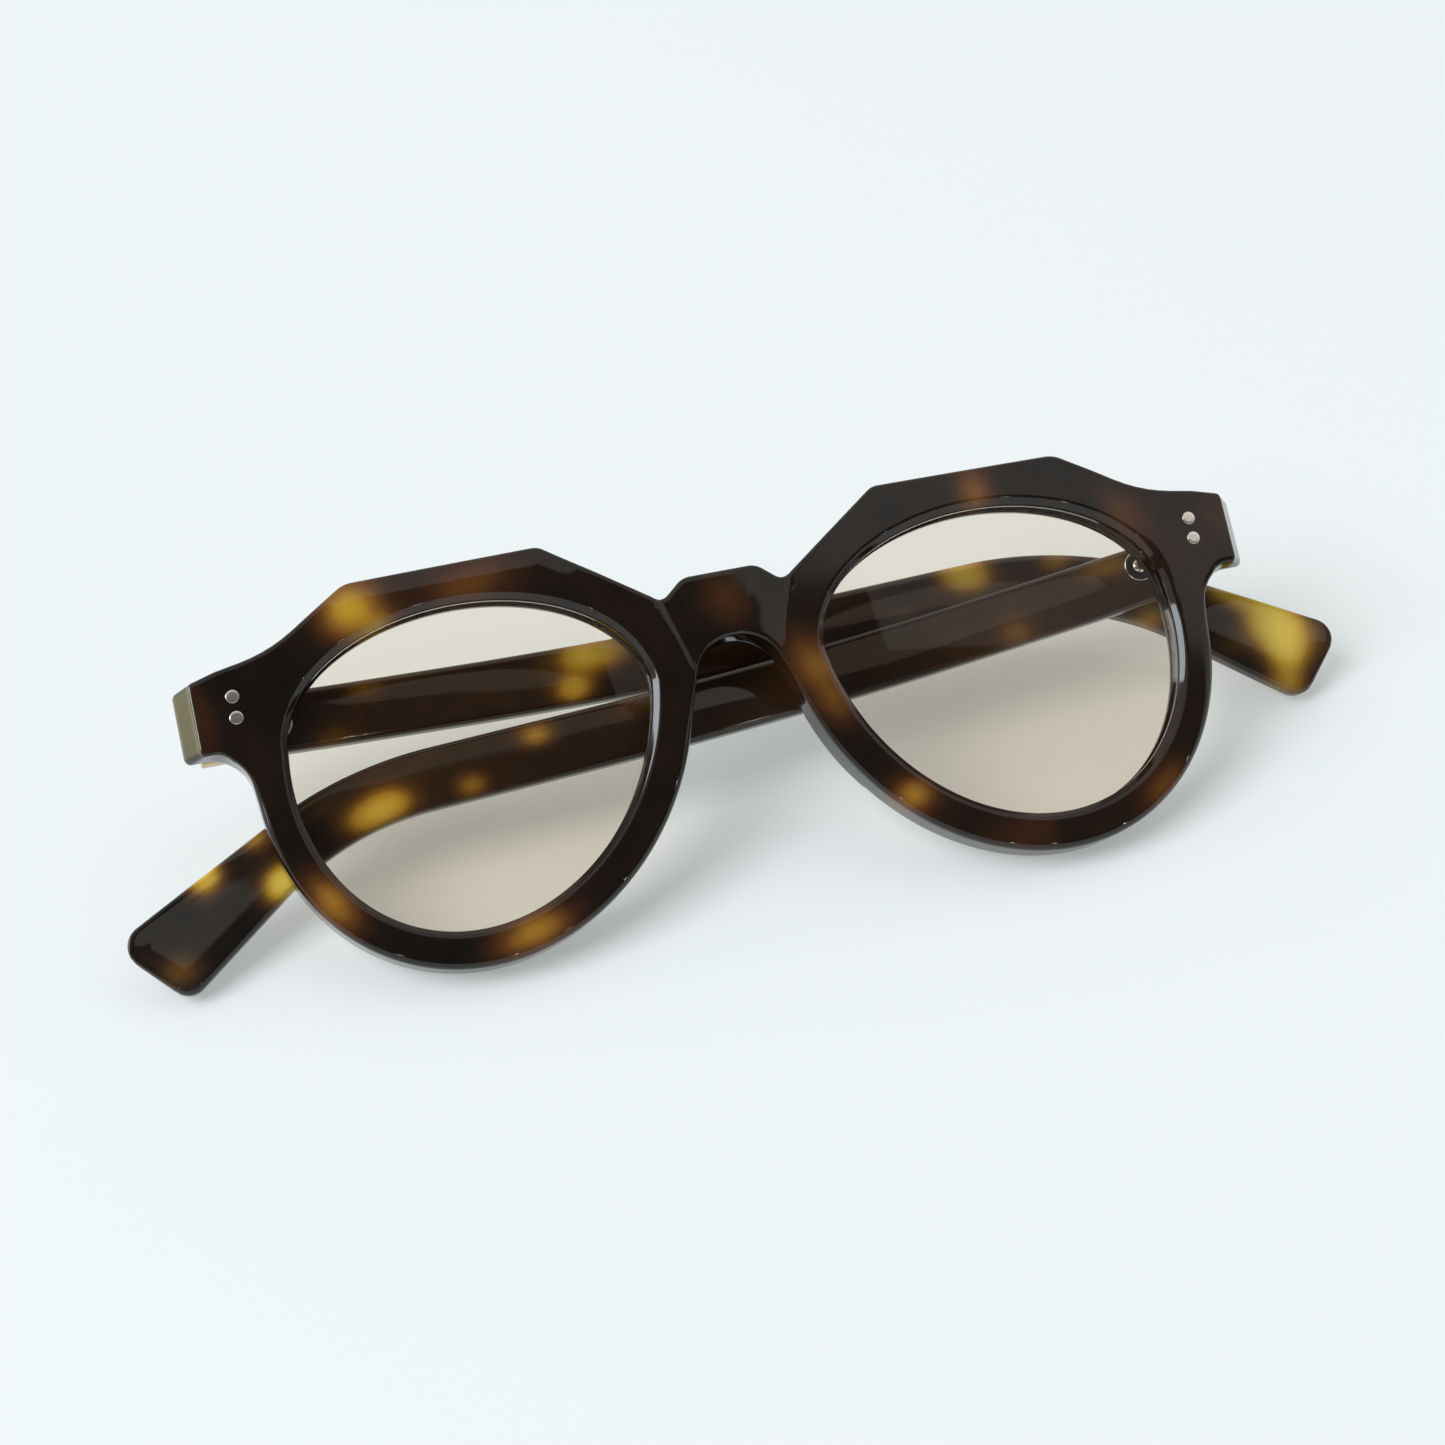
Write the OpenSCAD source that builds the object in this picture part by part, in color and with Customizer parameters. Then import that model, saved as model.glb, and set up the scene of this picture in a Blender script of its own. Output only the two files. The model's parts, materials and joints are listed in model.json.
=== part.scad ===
// Full-rim acetate spectacles with a keyhole bridge, folded, leaning back on their rims and temple tips.
// Every piece is drawn in the front's own frame: X to the right, Y up the front, Z out of its front face,
// with Y = 0 at the middle of the hinges. Left and right are as seen from the front.

/* [Lenses] */
// Width of each lens opening
lens_w = 47.7; // [42:0.1:54]
// Height of the lens opening above its widest level
lens_up = 15.2; // [12:0.1:19]
// Depth of the lens opening below its widest level
lens_down = 27.1; // [20:0.1:33]
// How far the bottom of the lens opening is carried towards the temple
lens_sweep = 3.6; // [0:0.1:5]
// Drop from the middle of the hinges to the widest level of the lens opening
lens_drop = 6; // [2:0.1:9]
// Thickness of the lens
lens_t = 2; // [1.2:0.1:2.4]
// Radius of the lens's curved faces
lens_curve_r = 260; // [200:10:600]
// Depth of the lens's middle behind the front face
lens_set = 1.2; // [0.8:0.1:1.6]
// Depth of the groove that holds the lens
groove_d = 0.8; // [0.4:0.1:1.2]
// Gap between the lens and its groove
lens_gap = 0.05; // [0.02:0.01:0.1]

/* [Front] */
// Distance between the two lens openings
bridge_gap = 23.4; // [19:0.1:28]
// Thickness of the front
front_t = 6; // [5.5:0.1:7]
// Radius of the front's curve
front_r = 800; // [600:50:1500]
// Width of the rim beside the temple
rim_temple_w = 4.65; // [3:0.05:6]
// Width of the rim beside the nose
rim_nose_w = 5.2; // [4:0.05:6.5]
// Width of the rim above the lens
rim_top_w = 5.3; // [4:0.1:7]
// Length of the straight top of each rim, corner to corner
crown_w = 25.7; // [18:0.1:32]
// Radius of the top corner beside the nose
crown_nose_r = 2.5; // [1:0.1:5]
// Radius of the top corner beside the temple
crown_temple_r = 4; // [1:0.1:6]
// Reach of the end piece beyond the lens opening
end_reach = 13.4; // [12:0.1:17]
// Height of the end piece
end_h = 9.6; // [8.6:0.1:12]
// Height of the end piece above the middle of the hinges
end_up = 5.4; // [4.4:0.1:6.5]
// Slant of the end face, front to back
end_slant = 26.6; // [10:0.1:32]
// Radius of the end piece's corners
end_r = 1; // [0.3:0.1:1.5]
// Rise from the end piece to the hollow of the brow line
brow_rise = 2.2; // [1:0.1:4]
// Radius of the hollow of the brow line
brow_r = 20; // [8:1:30]
// Radius of the hollow under the end piece
armpit_r = 5.5; // [2:0.1:7]
// Distance from the rim's side to the corner of that hollow
armpit_out = 1; // [0:0.1:2]

/* [Bridge] */
// Height of the bridge's top edge above the middle of the hinges
bridge_up = 6.85; // [5:0.05:9]
// Height of the bridge, from the nose arch to its top edge
bridge_h = 8.75; // [6:0.05:11]
// Width of the raised middle of the bridge
bump_w = 10; // [7:0.1:12]
// Radius of the shoulders of the raised middle
bump_r = 1.6; // [0.5:0.1:2]
// Distance between the notches beside the raised middle
notch_w = 16.4; // [14:0.1:20]
// Depth of the notches
notch_d = 2.65; // [1.5:0.05:4]
// Radius of the notches
notch_r = 1.2; // [0.5:0.1:2]
// Width of the nose arch at its top
arch_w = 8.6; // [6:0.1:11]
// Radius of the nose arch's top corners
arch_r = 5.5; // [1:0.1:6]

/* [Nose pads] */
// How far a pad stands behind the rim
pad_h = 2.8; // [1.5:0.1:3]
// Slope of the pad's back towards the lens
pad_slope = 20; // [5:1:30]
// Distance from the lens opening to the pad
pad_inset = 1.1; // [0.5:0.1:2]

/* [Hinges] */
// Distance from the end piece's back edge inwards to the hinge screw
pin_in = 5; // [4.6:0.1:6]
// Distance from the end piece's back to the hinge screw's axis
pin_back = 2.6; // [2.3:0.05:3]
// Distance from the temple's inner face to the hinge screw's axis
pin_to_temple = 1.7; // [1.6:0.05:2]
// Height of the stack of hinge barrels
barrel_h = 6; // [5:0.1:7]
// Diameter of the hinge barrels
barrel_d = 2.5; // [2.2:0.05:2.7]
// Gap between neighbouring barrels
barrel_gap = 0.06; // [0.04:0.01:0.1]
// Thickness of the hinge leaves
leaf_t = 0.6; // [0.5:0.05:0.7]
// Height of the front leaf
front_leaf_h = 7.4; // [7.2:0.1:8.4]
// Reach of the front leaf from the screw towards the nose
front_leaf_in = 5.2; // [4.8:0.1:6]
// Reach of the front leaf from the screw outwards
front_leaf_out = 1.4; // [1.3:0.1:1.5]
// Height of the temple leaf
temple_leaf_h = 4.2; // [3.8:0.1:5]
// Distance from the hinge screw to the near edge of the temple leaf
temple_leaf_at = 1.5; // [1.4:0.1:2]
// Radius of the front leaf's corners
leaf_r = 0.6; // [0.3:0.1:1]
// Diameter of the hinge screw
screw_d = 1.2; // [1:0.05:1.4]
// Running gap around the hinge screw
screw_gap = 0.04; // [0.02:0.01:0.08]
// Diameter of the hinge screw's head
screw_head_d = 2.1; // [1.8:0.1:2.3]
// Height of the hinge screw's head
screw_head_h = 0.7; // [0.5:0.05:1]
// Width and depth of the slot in the screw's head
screw_slot = 0.3; // [0.2:0.05:0.4]
// Gap between temple end and end piece when the temple is open
stop_gap = 0.15; // [0.05:0.05:0.4]

/* [Rivets] */
// Diameter of the front rivets
front_rivet_d = 1.75; // [1.4:0.05:2]
// Height of the upper front rivet above the middle of the hinges
rivet_up = 2.7; // [2.4:0.1:2.7]
// Distance between the two front rivets
rivet_step = 2.8; // [2.3:0.1:3.6]
// Distance from the hinge screw inwards to the front rivets
rivet_in = 2.8; // [2.4:0.1:3.4]
// How far a front rivet stands proud of the front
rivet_proud = 0.05; // [0:0.01:0.1]
// Diameter of the temple rivets' shanks
temple_rivet_d = 1.2; // [1:0.05:1.4]
// Diameter of the temple rivets' domed heads
dome_d = 1.8; // [1.6:0.05:2]
// Height of the domed heads
dome_h = 0.45; // [0.3:0.05:0.6]
// Distance from the hinge screw to the first temple rivet
temple_rivet_at = 4.5; // [4.2:0.1:5]
// Distance between the two temple rivets
temple_rivet_step = 3.6; // [2.4:0.1:4.5]
// Gap between a rivet and its hole
rivet_gap = 0.02; // [0.01:0.01:0.05]

/* [Temples] */
// Length of the temple from the hinge screw to the tip
temple_l = 155.4; // [148:0.1:158]
// Thickness of the temple
temple_t = 4; // [3.4:0.1:4.1]
// Thickness of the temple at its tip
tip_t = 3.8; // [3:0.1:4.1]
// Height of the temple's end at the hinge
butt_h = 8; // [7:0.1:8.4]
// Height of the temple's shaft
shaft_h = 8.2; // [7.4:0.1:8.4]
// Sag of the shaft between the hinge and the bend
shaft_sag = 2; // [0.4:0.1:2.2]
// Length over which the shaft tapers to its end at the hinge
butt_taper = 16; // [8:0.5:17]
// Radius that blends that taper into the shaft
taper_r = 60; // [20:5:80]
// Distance from the hinge screw to the bend of the top edge
bend_at = 120.8; // [116:0.1:124]
// Distance from the bend of the top edge to the bend of the bottom edge
bend_step = 1.3; // [0:0.1:4]
// Radius of the bend of the top edge
bend_top_r = 53; // [20:1:60]
// Radius of the bend of the bottom edge
bend_bottom_r = 38; // [15:1:45]
// Flare of the tip: how much steeper its bottom edge falls than its top edge
tip_flare = 9; // [6:0.5:13]
// How far the tip's lower corner lies short of its upper one
tip_back = 7.7; // [5:0.1:10]
// Radius of the tip's upper corner
tip_top_r = 2.5; // [1:0.1:3]
// Radius of the tip's lower corner
tip_bottom_r = 2.2; // [1:0.1:3]
// Distance from the hinge screw to the start of the tip's inward curve
curl_at = 110; // [100:1:120]
// Radius of the tip's inward curve
curl_r = 260; // [220:10:500]

/* [Set of each temple] */
// Droop of the right temple below the hinge's level
right_droop = 5.2; // [3:0.1:6]
// Droop of the left temple below the hinge's level
left_droop = -0.6; // [-1.5:0.1:0]
// How far the right temple folds past parallel, towards the front
right_fold = 1.3; // [0:0.05:1.5]
// How far the left temple folds past parallel, towards the front
left_fold = -2.4; // [-3:0.05:-2.3]
// Height of the right temple's shaft against its hinge
right_lift = -0.75; // [-1.2:0.05:-0.7]
// Height of the left temple's shaft against its hinge
left_lift = 0.65; // [0.6:0.05:1]
// Fall of the right tip's top edge
right_tip_fall = 23; // [18:0.5:26]
// Fall of the left tip's top edge
left_tip_fall = 30; // [24:0.5:32]

/* [Rest] */
// Lean of the front: 0 lies flat on its back, 90 stands upright
lean = 38.9; // [30:0.1:50]

/* [Hidden] */

acetate = [0.36, 0.20, 0.09];
clear_lens = [0.80, 0.82, 0.80, 0.45];
steel = [0.72, 0.71, 0.68];

arc_step = 6;
lens_step = 5;
curve_fn = 720;
lens_fn = 240;
round_fn = 48;
over = 1;
trim_r = 0.25;

// Places across the front
lens_mid_x = (bridge_gap + lens_w) / 2;
lens_out_x = lens_mid_x + lens_w / 2;
end_x = lens_out_x + end_reach;
far = 4 * end_x;
crown_y = lens_up - lens_drop + rim_top_w;
end_low = end_up - end_h;
seat_x = end_x - pin_in - front_leaf_in - over;
function front_z(x) = sqrt(pow(front_r, 2) - x * x) - front_r;
function back_z(x) = sqrt(pow(front_r - front_t, 2) - x * x) - front_r;
seat_z = back_z(seat_x);
pin_x = end_x - pin_in;
pin_z = seat_z - pin_back;
butt = pin_back - stop_gap;
rivet_x = pin_x - rivet_in;

// Lens opening: half an ellipse above the widest level and a deeper, swept half below it
function opening_point(t) = [
  lens_mid_x + lens_w / 2 * cos(t) - lens_sweep * min(sin(t), 0),
  (sin(t) > 0 ? lens_up : lens_down) * sin(t) - lens_drop
];
function opening_normal(t) = unit([
  (sin(t) > 0 ? lens_up : lens_down) * cos(t),
  lens_w / 2 * sin(t) + (sin(t) < 0 ? lens_sweep * cos(t) : 0)
]);
function unit(v) = v / norm(v);
function beside_opening(t, w) = opening_point(t) + w * opening_normal(t);
function opening(w) = [for (t = [0 : lens_step : 360 - lens_step]) beside_opening(t, w)];
function rim_w(t) = (rim_temple_w + rim_nose_w) / 2 + (rim_temple_w - rim_nose_w) / 2 * cos(t);

// Each inner corner [x, y, radius] of a path becomes an arc
function flat(c) = [c[0], c[1]];
function arc_between(a, q, b, r) =
  let (
    to_a = unit(a - q),
    to_b = unit(b - q),
    half = acos(to_a * to_b) / 2,
    mid = q + unit(to_a + to_b) * r / sin(half),
    from = q + to_a * r / tan(half) - mid,
    start = atan2(from[1], from[0]),
    side = sign(to_a[0] * to_b[1] - to_a[1] * to_b[0]),
    sweep = side * (2 * half - 180),
    count = max(2, ceil(abs(sweep) / arc_step))
  )
  [for (i = [0 : count]) mid + r * [cos(start + sweep * i / count), sin(start + sweep * i / count)]];
function rounded(path) = [
  for (i = [1 : len(path) - 2])
    for (p = arc_between(flat(path[i - 1]), flat(path[i]), flat(path[i + 1]), path[i][2])) p
];
function mirrored(points) = [for (i = [len(points) - 1 : -1 : 0]) [-points[i][0], points[i][1]]];

// Outline of the front, right half, from the bridge's top round to the nose arch
rim_from = -12;
rim_to = -165;
rim_step = 4.5;
rim_curve = [for (t = [rim_from : -rim_step : rim_to]) beside_opening(t, rim_w(t))];
arch_y = bridge_up - bridge_h;
arch_round = min(arch_r, 0.7 * arch_w);
brow_corner = [
  [0, bridge_up],
  [bump_w / 2, bridge_up, bump_r],
  [notch_w / 2, bridge_up - notch_d, notch_r],
  [lens_mid_x - crown_w / 2, crown_y, crown_nose_r],
  [lens_mid_x + crown_w / 2, crown_y, crown_temple_r],
  [lens_out_x, end_up + brow_rise, brow_r],
  [end_x, end_up, end_r],
  [end_x, end_low, end_r],
  [lens_out_x + rim_temple_w + armpit_out, end_low, armpit_r],
  rim_curve[0]
];
arch_corner = [rim_curve[len(rim_curve) - 1], [arch_w / 2, arch_y, arch_round], [0, arch_y]];
front_half = concat(rounded(brow_corner), rim_curve, rounded(arch_corner));
front_outline = concat(front_half, mirrored(front_half));

// Side outline of a temple, with X = 0 at the hinge screw and the shaft along -X
sag_r = 900;
function temple_outline(lift, fall) =
  let (
    top = butt_h / 2 + lift,
    low = top - shaft_h,
    mid_x = -bend_at / 2,
    low_bend_x = -bend_at - bend_step,
    low_tip_x = -temple_l + tip_back
  )
  rounded([
    [mid_x, top - butt_h],
    [butt + over, top - butt_h, trim_r],
    [butt + over, top, trim_r],
    [mid_x, top - shaft_sag, sag_r],
    [-bend_at, top, bend_top_r],
    [-temple_l, top - (temple_l - bend_at) * tan(fall), tip_top_r],
    [low_tip_x, low + (low_tip_x - low_bend_x) * tan(fall + tip_flare), tip_bottom_r],
    [low_bend_x, low, bend_bottom_r],
    [mid_x, low - shaft_sag, sag_r],
    [-butt_taper, low - shaft_sag * butt_taper / -mid_x, taper_r],
    [butt + over, top - butt_h]
  ]);

// Distance of a temple's inner face from the hinge screw at distance u along the shaft
function curl(u) = u < curl_at ? 0 : curl_r - sqrt(pow(curl_r, 2) - pow(u - curl_at, 2));
function inner_z(u) = curl(u) - pin_to_temple;
function outer_z(u) = inner_z(u) - temple_t + max(0, u - curl_at) / (temple_l - curl_at) * (temple_t - tip_t);
curl_count = 12;
curl_us = [for (i = [0 : curl_count]) curl_at + (temple_l + over - curl_at) * i / curl_count];
temple_plan = concat(
  [[butt + 2 * over, outer_z(0)], [butt + 2 * over, inner_z(0)]],
  [for (u = curl_us) [-u, inner_z(u)]],
  [for (i = [curl_count : -1 : 0]) [-curl_us[i], outer_z(curl_us[i])]]
);

// Lowest and outermost points of the folded pair, which set its place over the origin
function leaning(p) = [p[0], p[1] * cos(lean) - p[2] * sin(lean), p[1] * sin(lean) + p[2] * cos(lean)];
function on_front(p, droop, fold) =
  let (
    x = p[0] * cos(droop) - p[1] * sin(droop),
    y = p[0] * sin(droop) + p[1] * cos(droop)
  )
  [pin_x + x * cos(fold) + p[2] * sin(fold), y, pin_z - x * sin(fold) + p[2] * cos(fold)];
function temple_reach(droop, fold, lift, fall) = [
  for (p = temple_outline(lift, fall))
    if (p[0] < butt)
      for (z = [inner_z(-p[0]), outer_z(-p[0])]) on_front([p[0], p[1], z], droop, fold)
];
front_reach = [for (p = front_outline) for (z = [front_z(p[0]), max(back_z(p[0]), seat_z)]) [p[0], p[1], z]];
right_reach = temple_reach(right_droop, right_fold, right_lift, right_tip_fall);
left_reach = [for (p = temple_reach(left_droop, left_fold, left_lift, left_tip_fall)) [-p[0], p[1], p[2]]];
reach = [for (p = concat(front_reach, right_reach, left_reach)) leaning(p)];
function spread(axis) = [for (p = reach) p[axis]];
rest_place = [
  -(min(spread(0)) + max(spread(0))) / 2,
  -(min(spread(1)) + max(spread(1))) / 2,
  -min(spread(2))
];

module at_rest() {
  translate(rest_place)
    rotate([lean, 0, 0])
      children();
}

module left_side() {
  mirror([1, 0, 0])
    children();
}

// Solid that lies behind the front's curved face by a depth
module curved_block(depth) {
  translate([0, 0, -front_r])
    rotate([90, 0, 0])
      cylinder(r = front_r - depth, h = far, center = true, $fn = curve_fn);
}

// Curved lens blank, grown by a gap on every side
module lens_blank(gap) {
  ball_from_axis = front_r - lens_set - lens_curve_r;
  swing = asin(lens_mid_x / front_r);
  lens_mid_y = (lens_up - lens_down) / 2 - lens_drop;
  intersection() {
    translate([0, 0, seat_z])
      linear_extrude(over - seat_z)
        polygon(opening(groove_d + gap));
    translate([ball_from_axis * sin(swing), lens_mid_y, ball_from_axis * cos(swing) - front_r])
      difference() {
        sphere(r = lens_curve_r + gap, $fn = lens_fn);
        sphere(r = lens_curve_r - lens_t - gap, $fn = lens_fn);
      }
  }
}

module lens() {
  color(clear_lens)
    lens_blank(0);
}

module front_rivet_place(i) {
  translate([rivet_x, rivet_up - i * rivet_step, 0])
    children();
}

module front_rivet_holes() {
  for (i = [0, 1])
    front_rivet_place(i)
      translate([0, 0, seat_z - leaf_t - over])
        cylinder(d = front_rivet_d + 2 * rivet_gap, h = front_t + leaf_t - seat_z + 2 * over, $fn = round_fn);
}

// Wedge that slants the end face
module end_cut() {
  run = (over - seat_z) * tan(end_slant);
  rotate([90, 0, 0])
    linear_extrude(far, center = true)
      polygon([[end_x, seat_z], [end_x - run, over], [end_x + over, over], [end_x + over, seat_z]]);
}

module half_front_cuts() {
  translate([0, 0, seat_z - over])
    linear_extrude(3 * over - seat_z)
      polygon(opening(0));
  lens_blank(lens_gap);
  front_rivet_holes();
  end_cut();
}

module front() {
  color(acetate)
    at_rest()
      difference() {
        intersection() {
          translate([0, 0, seat_z])
            linear_extrude(over - seat_z)
              polygon(front_outline);
          curved_block(0);
        }
        curved_block(front_t);
        half_front_cuts();
        left_side()
          half_front_cuts();
      }
}

// Pad bonded behind the rim beside the nose, thickest at the nose
pad_from = -148;
pad_to = -172;
pad_step = 3;

// Everything below a plane that tilts about the Y axis at x, z
module below(x, z, tilt) {
  translate([x, 0, z])
    rotate([0, tilt, 0])
      translate([-far / 2, -far / 2, -far])
        cube(far);
}

module nose_pad() {
  pad_edge = [for (t = [pad_from : -pad_step : pad_to]) beside_opening(t, rim_w(t))];
  pad_inner = [for (t = [pad_to : pad_step : pad_from]) beside_opening(t, pad_inset)];
  thick_x = min([for (p = pad_edge) p[0]]);
  thin_x = max([for (p = pad_inner) p[0]]);
  seat = back_z(thick_x);
  color(acetate)
    difference() {
      intersection() {
        translate([0, 0, seat - pad_h])
          linear_extrude(pad_h + over)
            polygon(concat(pad_edge, pad_inner));
        below(thick_x, seat, atan2(seat - back_z(thin_x), thin_x - thick_x));
      }
      below(thick_x, seat - pad_h, -pad_slope);
    }
}

// Barrel i of the five in a hinge, on the screw's axis, with its bore
barrel_count = 5;
barrel_step = barrel_h / barrel_count;
module barrel_span(i) {
  translate([0, (i - (barrel_count - 1) / 2) * barrel_step, 0])
    rotate([90, 0, 0])
      children();
}

module screw_bore() {
  rotate([90, 0, 0])
    cylinder(d = screw_d + 2 * screw_gap, h = barrel_h + 2 * over, center = true, $fn = round_fn);
}

// A barrel joined to its leaf, which lies at height z and spreads from x_low to x_high
module knuckle(i, z, x_low, x_high) {
  long = barrel_step - barrel_gap;
  barrel_span(i) {
    cylinder(d = barrel_d, h = long, center = true, $fn = round_fn);
    translate([x_low, min(0, z), -long / 2])
      cube([x_high - x_low, abs(z), long]);
  }
}

module front_hinge() {
  low = -front_leaf_in;
  high = front_leaf_out;
  half = front_leaf_h / 2;
  plate = rounded([
    [low, 0], [low, -half, leaf_r], [high, -half, leaf_r], [high, half, leaf_r], [low, half, leaf_r], [low, 0]
  ]);
  color(steel)
    difference() {
      translate([pin_x, 0, pin_z])
        difference() {
          union() {
            translate([0, 0, pin_back - leaf_t])
              linear_extrude(leaf_t)
                polygon(plate);
            for (i = [0, 2, 4])
              knuckle(i, pin_back, -barrel_d / 2, barrel_d / 2);
          }
          screw_bore();
        }
      front_rivet_holes();
    }
}

module hinge_screw() {
  color(steel)
    translate([pin_x, 0, pin_z])
      rotate([-90, 0, 0])
        difference() {
          union() {
            translate([0, 0, -barrel_h / 2])
              cylinder(d = screw_d, h = barrel_h, $fn = round_fn);
            translate([0, 0, barrel_h / 2])
              cylinder(d = screw_head_d, h = screw_head_h, $fn = round_fn);
          }
          translate([-screw_head_d, -screw_slot / 2, barrel_h / 2 + screw_head_h - screw_slot])
            cube([2 * screw_head_d, screw_slot, screw_head_h]);
        }
}

module front_rivet(i) {
  low = seat_z - leaf_t;
  color(steel)
    front_rivet_place(i)
      translate([0, 0, low])
        cylinder(d = front_rivet_d, h = front_z(rivet_x) + rivet_proud - low, $fn = round_fn);
}

// Frame of a temple's hinge, folded as it lies at rest
module hinged(fold) {
  translate([pin_x, 0, pin_z])
    rotate([0, fold, 0])
      children();
}

module temple_rivet_place(i, droop) {
  rotate([0, 0, droop])
    translate([-temple_rivet_at - i * temple_rivet_step, 0, 0])
      children();
}

module temple_rivet_holes(droop) {
  for (i = [0, 1])
    temple_rivet_place(i, droop)
      translate([0, 0, outer_z(0) - over])
        cylinder(d = temple_rivet_d + 2 * rivet_gap, h = temple_t + leaf_t + 2 * over, $fn = round_fn);
}

module temple(droop, fold, lift, fall) {
  color(acetate)
    hinged(fold)
      difference() {
        rotate([0, 0, droop])
          intersection() {
            translate([0, 0, outer_z(0) - over])
              linear_extrude(temple_t + curl(temple_l) + 2 * over)
                polygon(temple_outline(lift, fall));
            rotate([90, 0, 0])
              linear_extrude(far, center = true)
                polygon(temple_plan);
          }
        translate([butt, -far / 2, -far / 2])
          cube(far);
        temple_rivet_holes(droop);
      }
}

// Leaf along the drooping temple, with two barrels on the screw
module temple_hinge(droop, fold) {
  half = temple_leaf_h / 2;
  end = -temple_rivet_at - temple_rivet_step - half;
  near = -temple_leaf_at;
  plate = rounded([
    [near, 0], [near, half, leaf_r], [end, half, half], [end, -half, half], [near, -half, leaf_r], [near, 0]
  ]);
  color(steel)
    hinged(fold)
      difference() {
        union() {
          rotate([0, 0, droop])
            translate([0, 0, inner_z(0)])
              linear_extrude(leaf_t)
                polygon(plate);
          for (i = [1, 3])
            knuckle(i, inner_z(0), -temple_leaf_at - leaf_t, 0);
        }
        screw_bore();
        temple_rivet_holes(droop);
      }
}

module temple_rivet(i, droop, fold) {
  dome_r = (pow(dome_d / 2, 2) + pow(dome_h, 2)) / (2 * dome_h);
  color(steel)
    hinged(fold)
      temple_rivet_place(i, droop) {
        translate([0, 0, outer_z(0)])
          cylinder(d = temple_rivet_d, h = temple_t + leaf_t + dome_h / 2, $fn = round_fn);
        translate([0, 0, inner_z(0) + leaf_t])
          intersection() {
            translate([0, 0, dome_h - dome_r])
              sphere(r = dome_r, $fn = round_fn);
            cylinder(d = 2 * dome_d, h = dome_h, $fn = round_fn);
          }
      }
}

module left_lens() at_rest() left_side() lens();
module right_lens() at_rest() lens();
module left_nose_pad() at_rest() left_side() nose_pad();
module right_nose_pad() at_rest() nose_pad();
module left_front_hinge() at_rest() left_side() front_hinge();
module right_front_hinge() at_rest() front_hinge();
module left_temple_hinge() at_rest() left_side() temple_hinge(left_droop, left_fold);
module right_temple_hinge() at_rest() temple_hinge(right_droop, right_fold);
module left_hinge_screw() at_rest() left_side() hinge_screw();
module right_hinge_screw() at_rest() hinge_screw();
module left_upper_front_rivet() at_rest() left_side() front_rivet(0);
module left_lower_front_rivet() at_rest() left_side() front_rivet(1);
module right_upper_front_rivet() at_rest() front_rivet(0);
module right_lower_front_rivet() at_rest() front_rivet(1);
module left_temple() at_rest() left_side() temple(left_droop, left_fold, left_lift, left_tip_fall);
module right_temple() at_rest() temple(right_droop, right_fold, right_lift, right_tip_fall);
module left_first_temple_rivet() at_rest() left_side() temple_rivet(0, left_droop, left_fold);
module left_second_temple_rivet() at_rest() left_side() temple_rivet(1, left_droop, left_fold);
module right_first_temple_rivet() at_rest() temple_rivet(0, right_droop, right_fold);
module right_second_temple_rivet() at_rest() temple_rivet(1, right_droop, right_fold);

front();
left_lens();
right_lens();
left_nose_pad();
right_nose_pad();
left_front_hinge();
right_front_hinge();
left_temple_hinge();
right_temple_hinge();
left_hinge_screw();
right_hinge_screw();
left_upper_front_rivet();
left_lower_front_rivet();
right_upper_front_rivet();
right_lower_front_rivet();
left_temple();
right_temple();
left_first_temple_rivet();
left_second_temple_rivet();
right_first_temple_rivet();
right_second_temple_rivet();
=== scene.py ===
import json
import math
import bmesh
import bpy
import numpy as np
from mathutils import Matrix, Vector


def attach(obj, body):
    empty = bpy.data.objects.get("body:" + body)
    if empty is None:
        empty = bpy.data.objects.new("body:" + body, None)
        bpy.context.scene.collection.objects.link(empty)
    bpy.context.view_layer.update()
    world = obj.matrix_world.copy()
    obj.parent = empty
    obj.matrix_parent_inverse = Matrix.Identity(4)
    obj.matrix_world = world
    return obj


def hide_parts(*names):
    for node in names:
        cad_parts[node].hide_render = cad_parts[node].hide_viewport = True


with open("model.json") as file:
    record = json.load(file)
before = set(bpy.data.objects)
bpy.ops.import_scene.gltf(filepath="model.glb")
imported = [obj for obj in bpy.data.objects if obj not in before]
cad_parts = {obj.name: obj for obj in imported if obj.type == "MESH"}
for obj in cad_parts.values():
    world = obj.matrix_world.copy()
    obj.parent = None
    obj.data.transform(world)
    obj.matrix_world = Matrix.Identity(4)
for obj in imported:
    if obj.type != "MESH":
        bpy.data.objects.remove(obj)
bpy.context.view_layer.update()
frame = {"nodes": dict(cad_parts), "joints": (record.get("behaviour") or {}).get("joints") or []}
nodes = frame["nodes"]
joints = {j["name"]: j for j in frame["joints"]}
print("solids loaded:", len(nodes))

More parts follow.
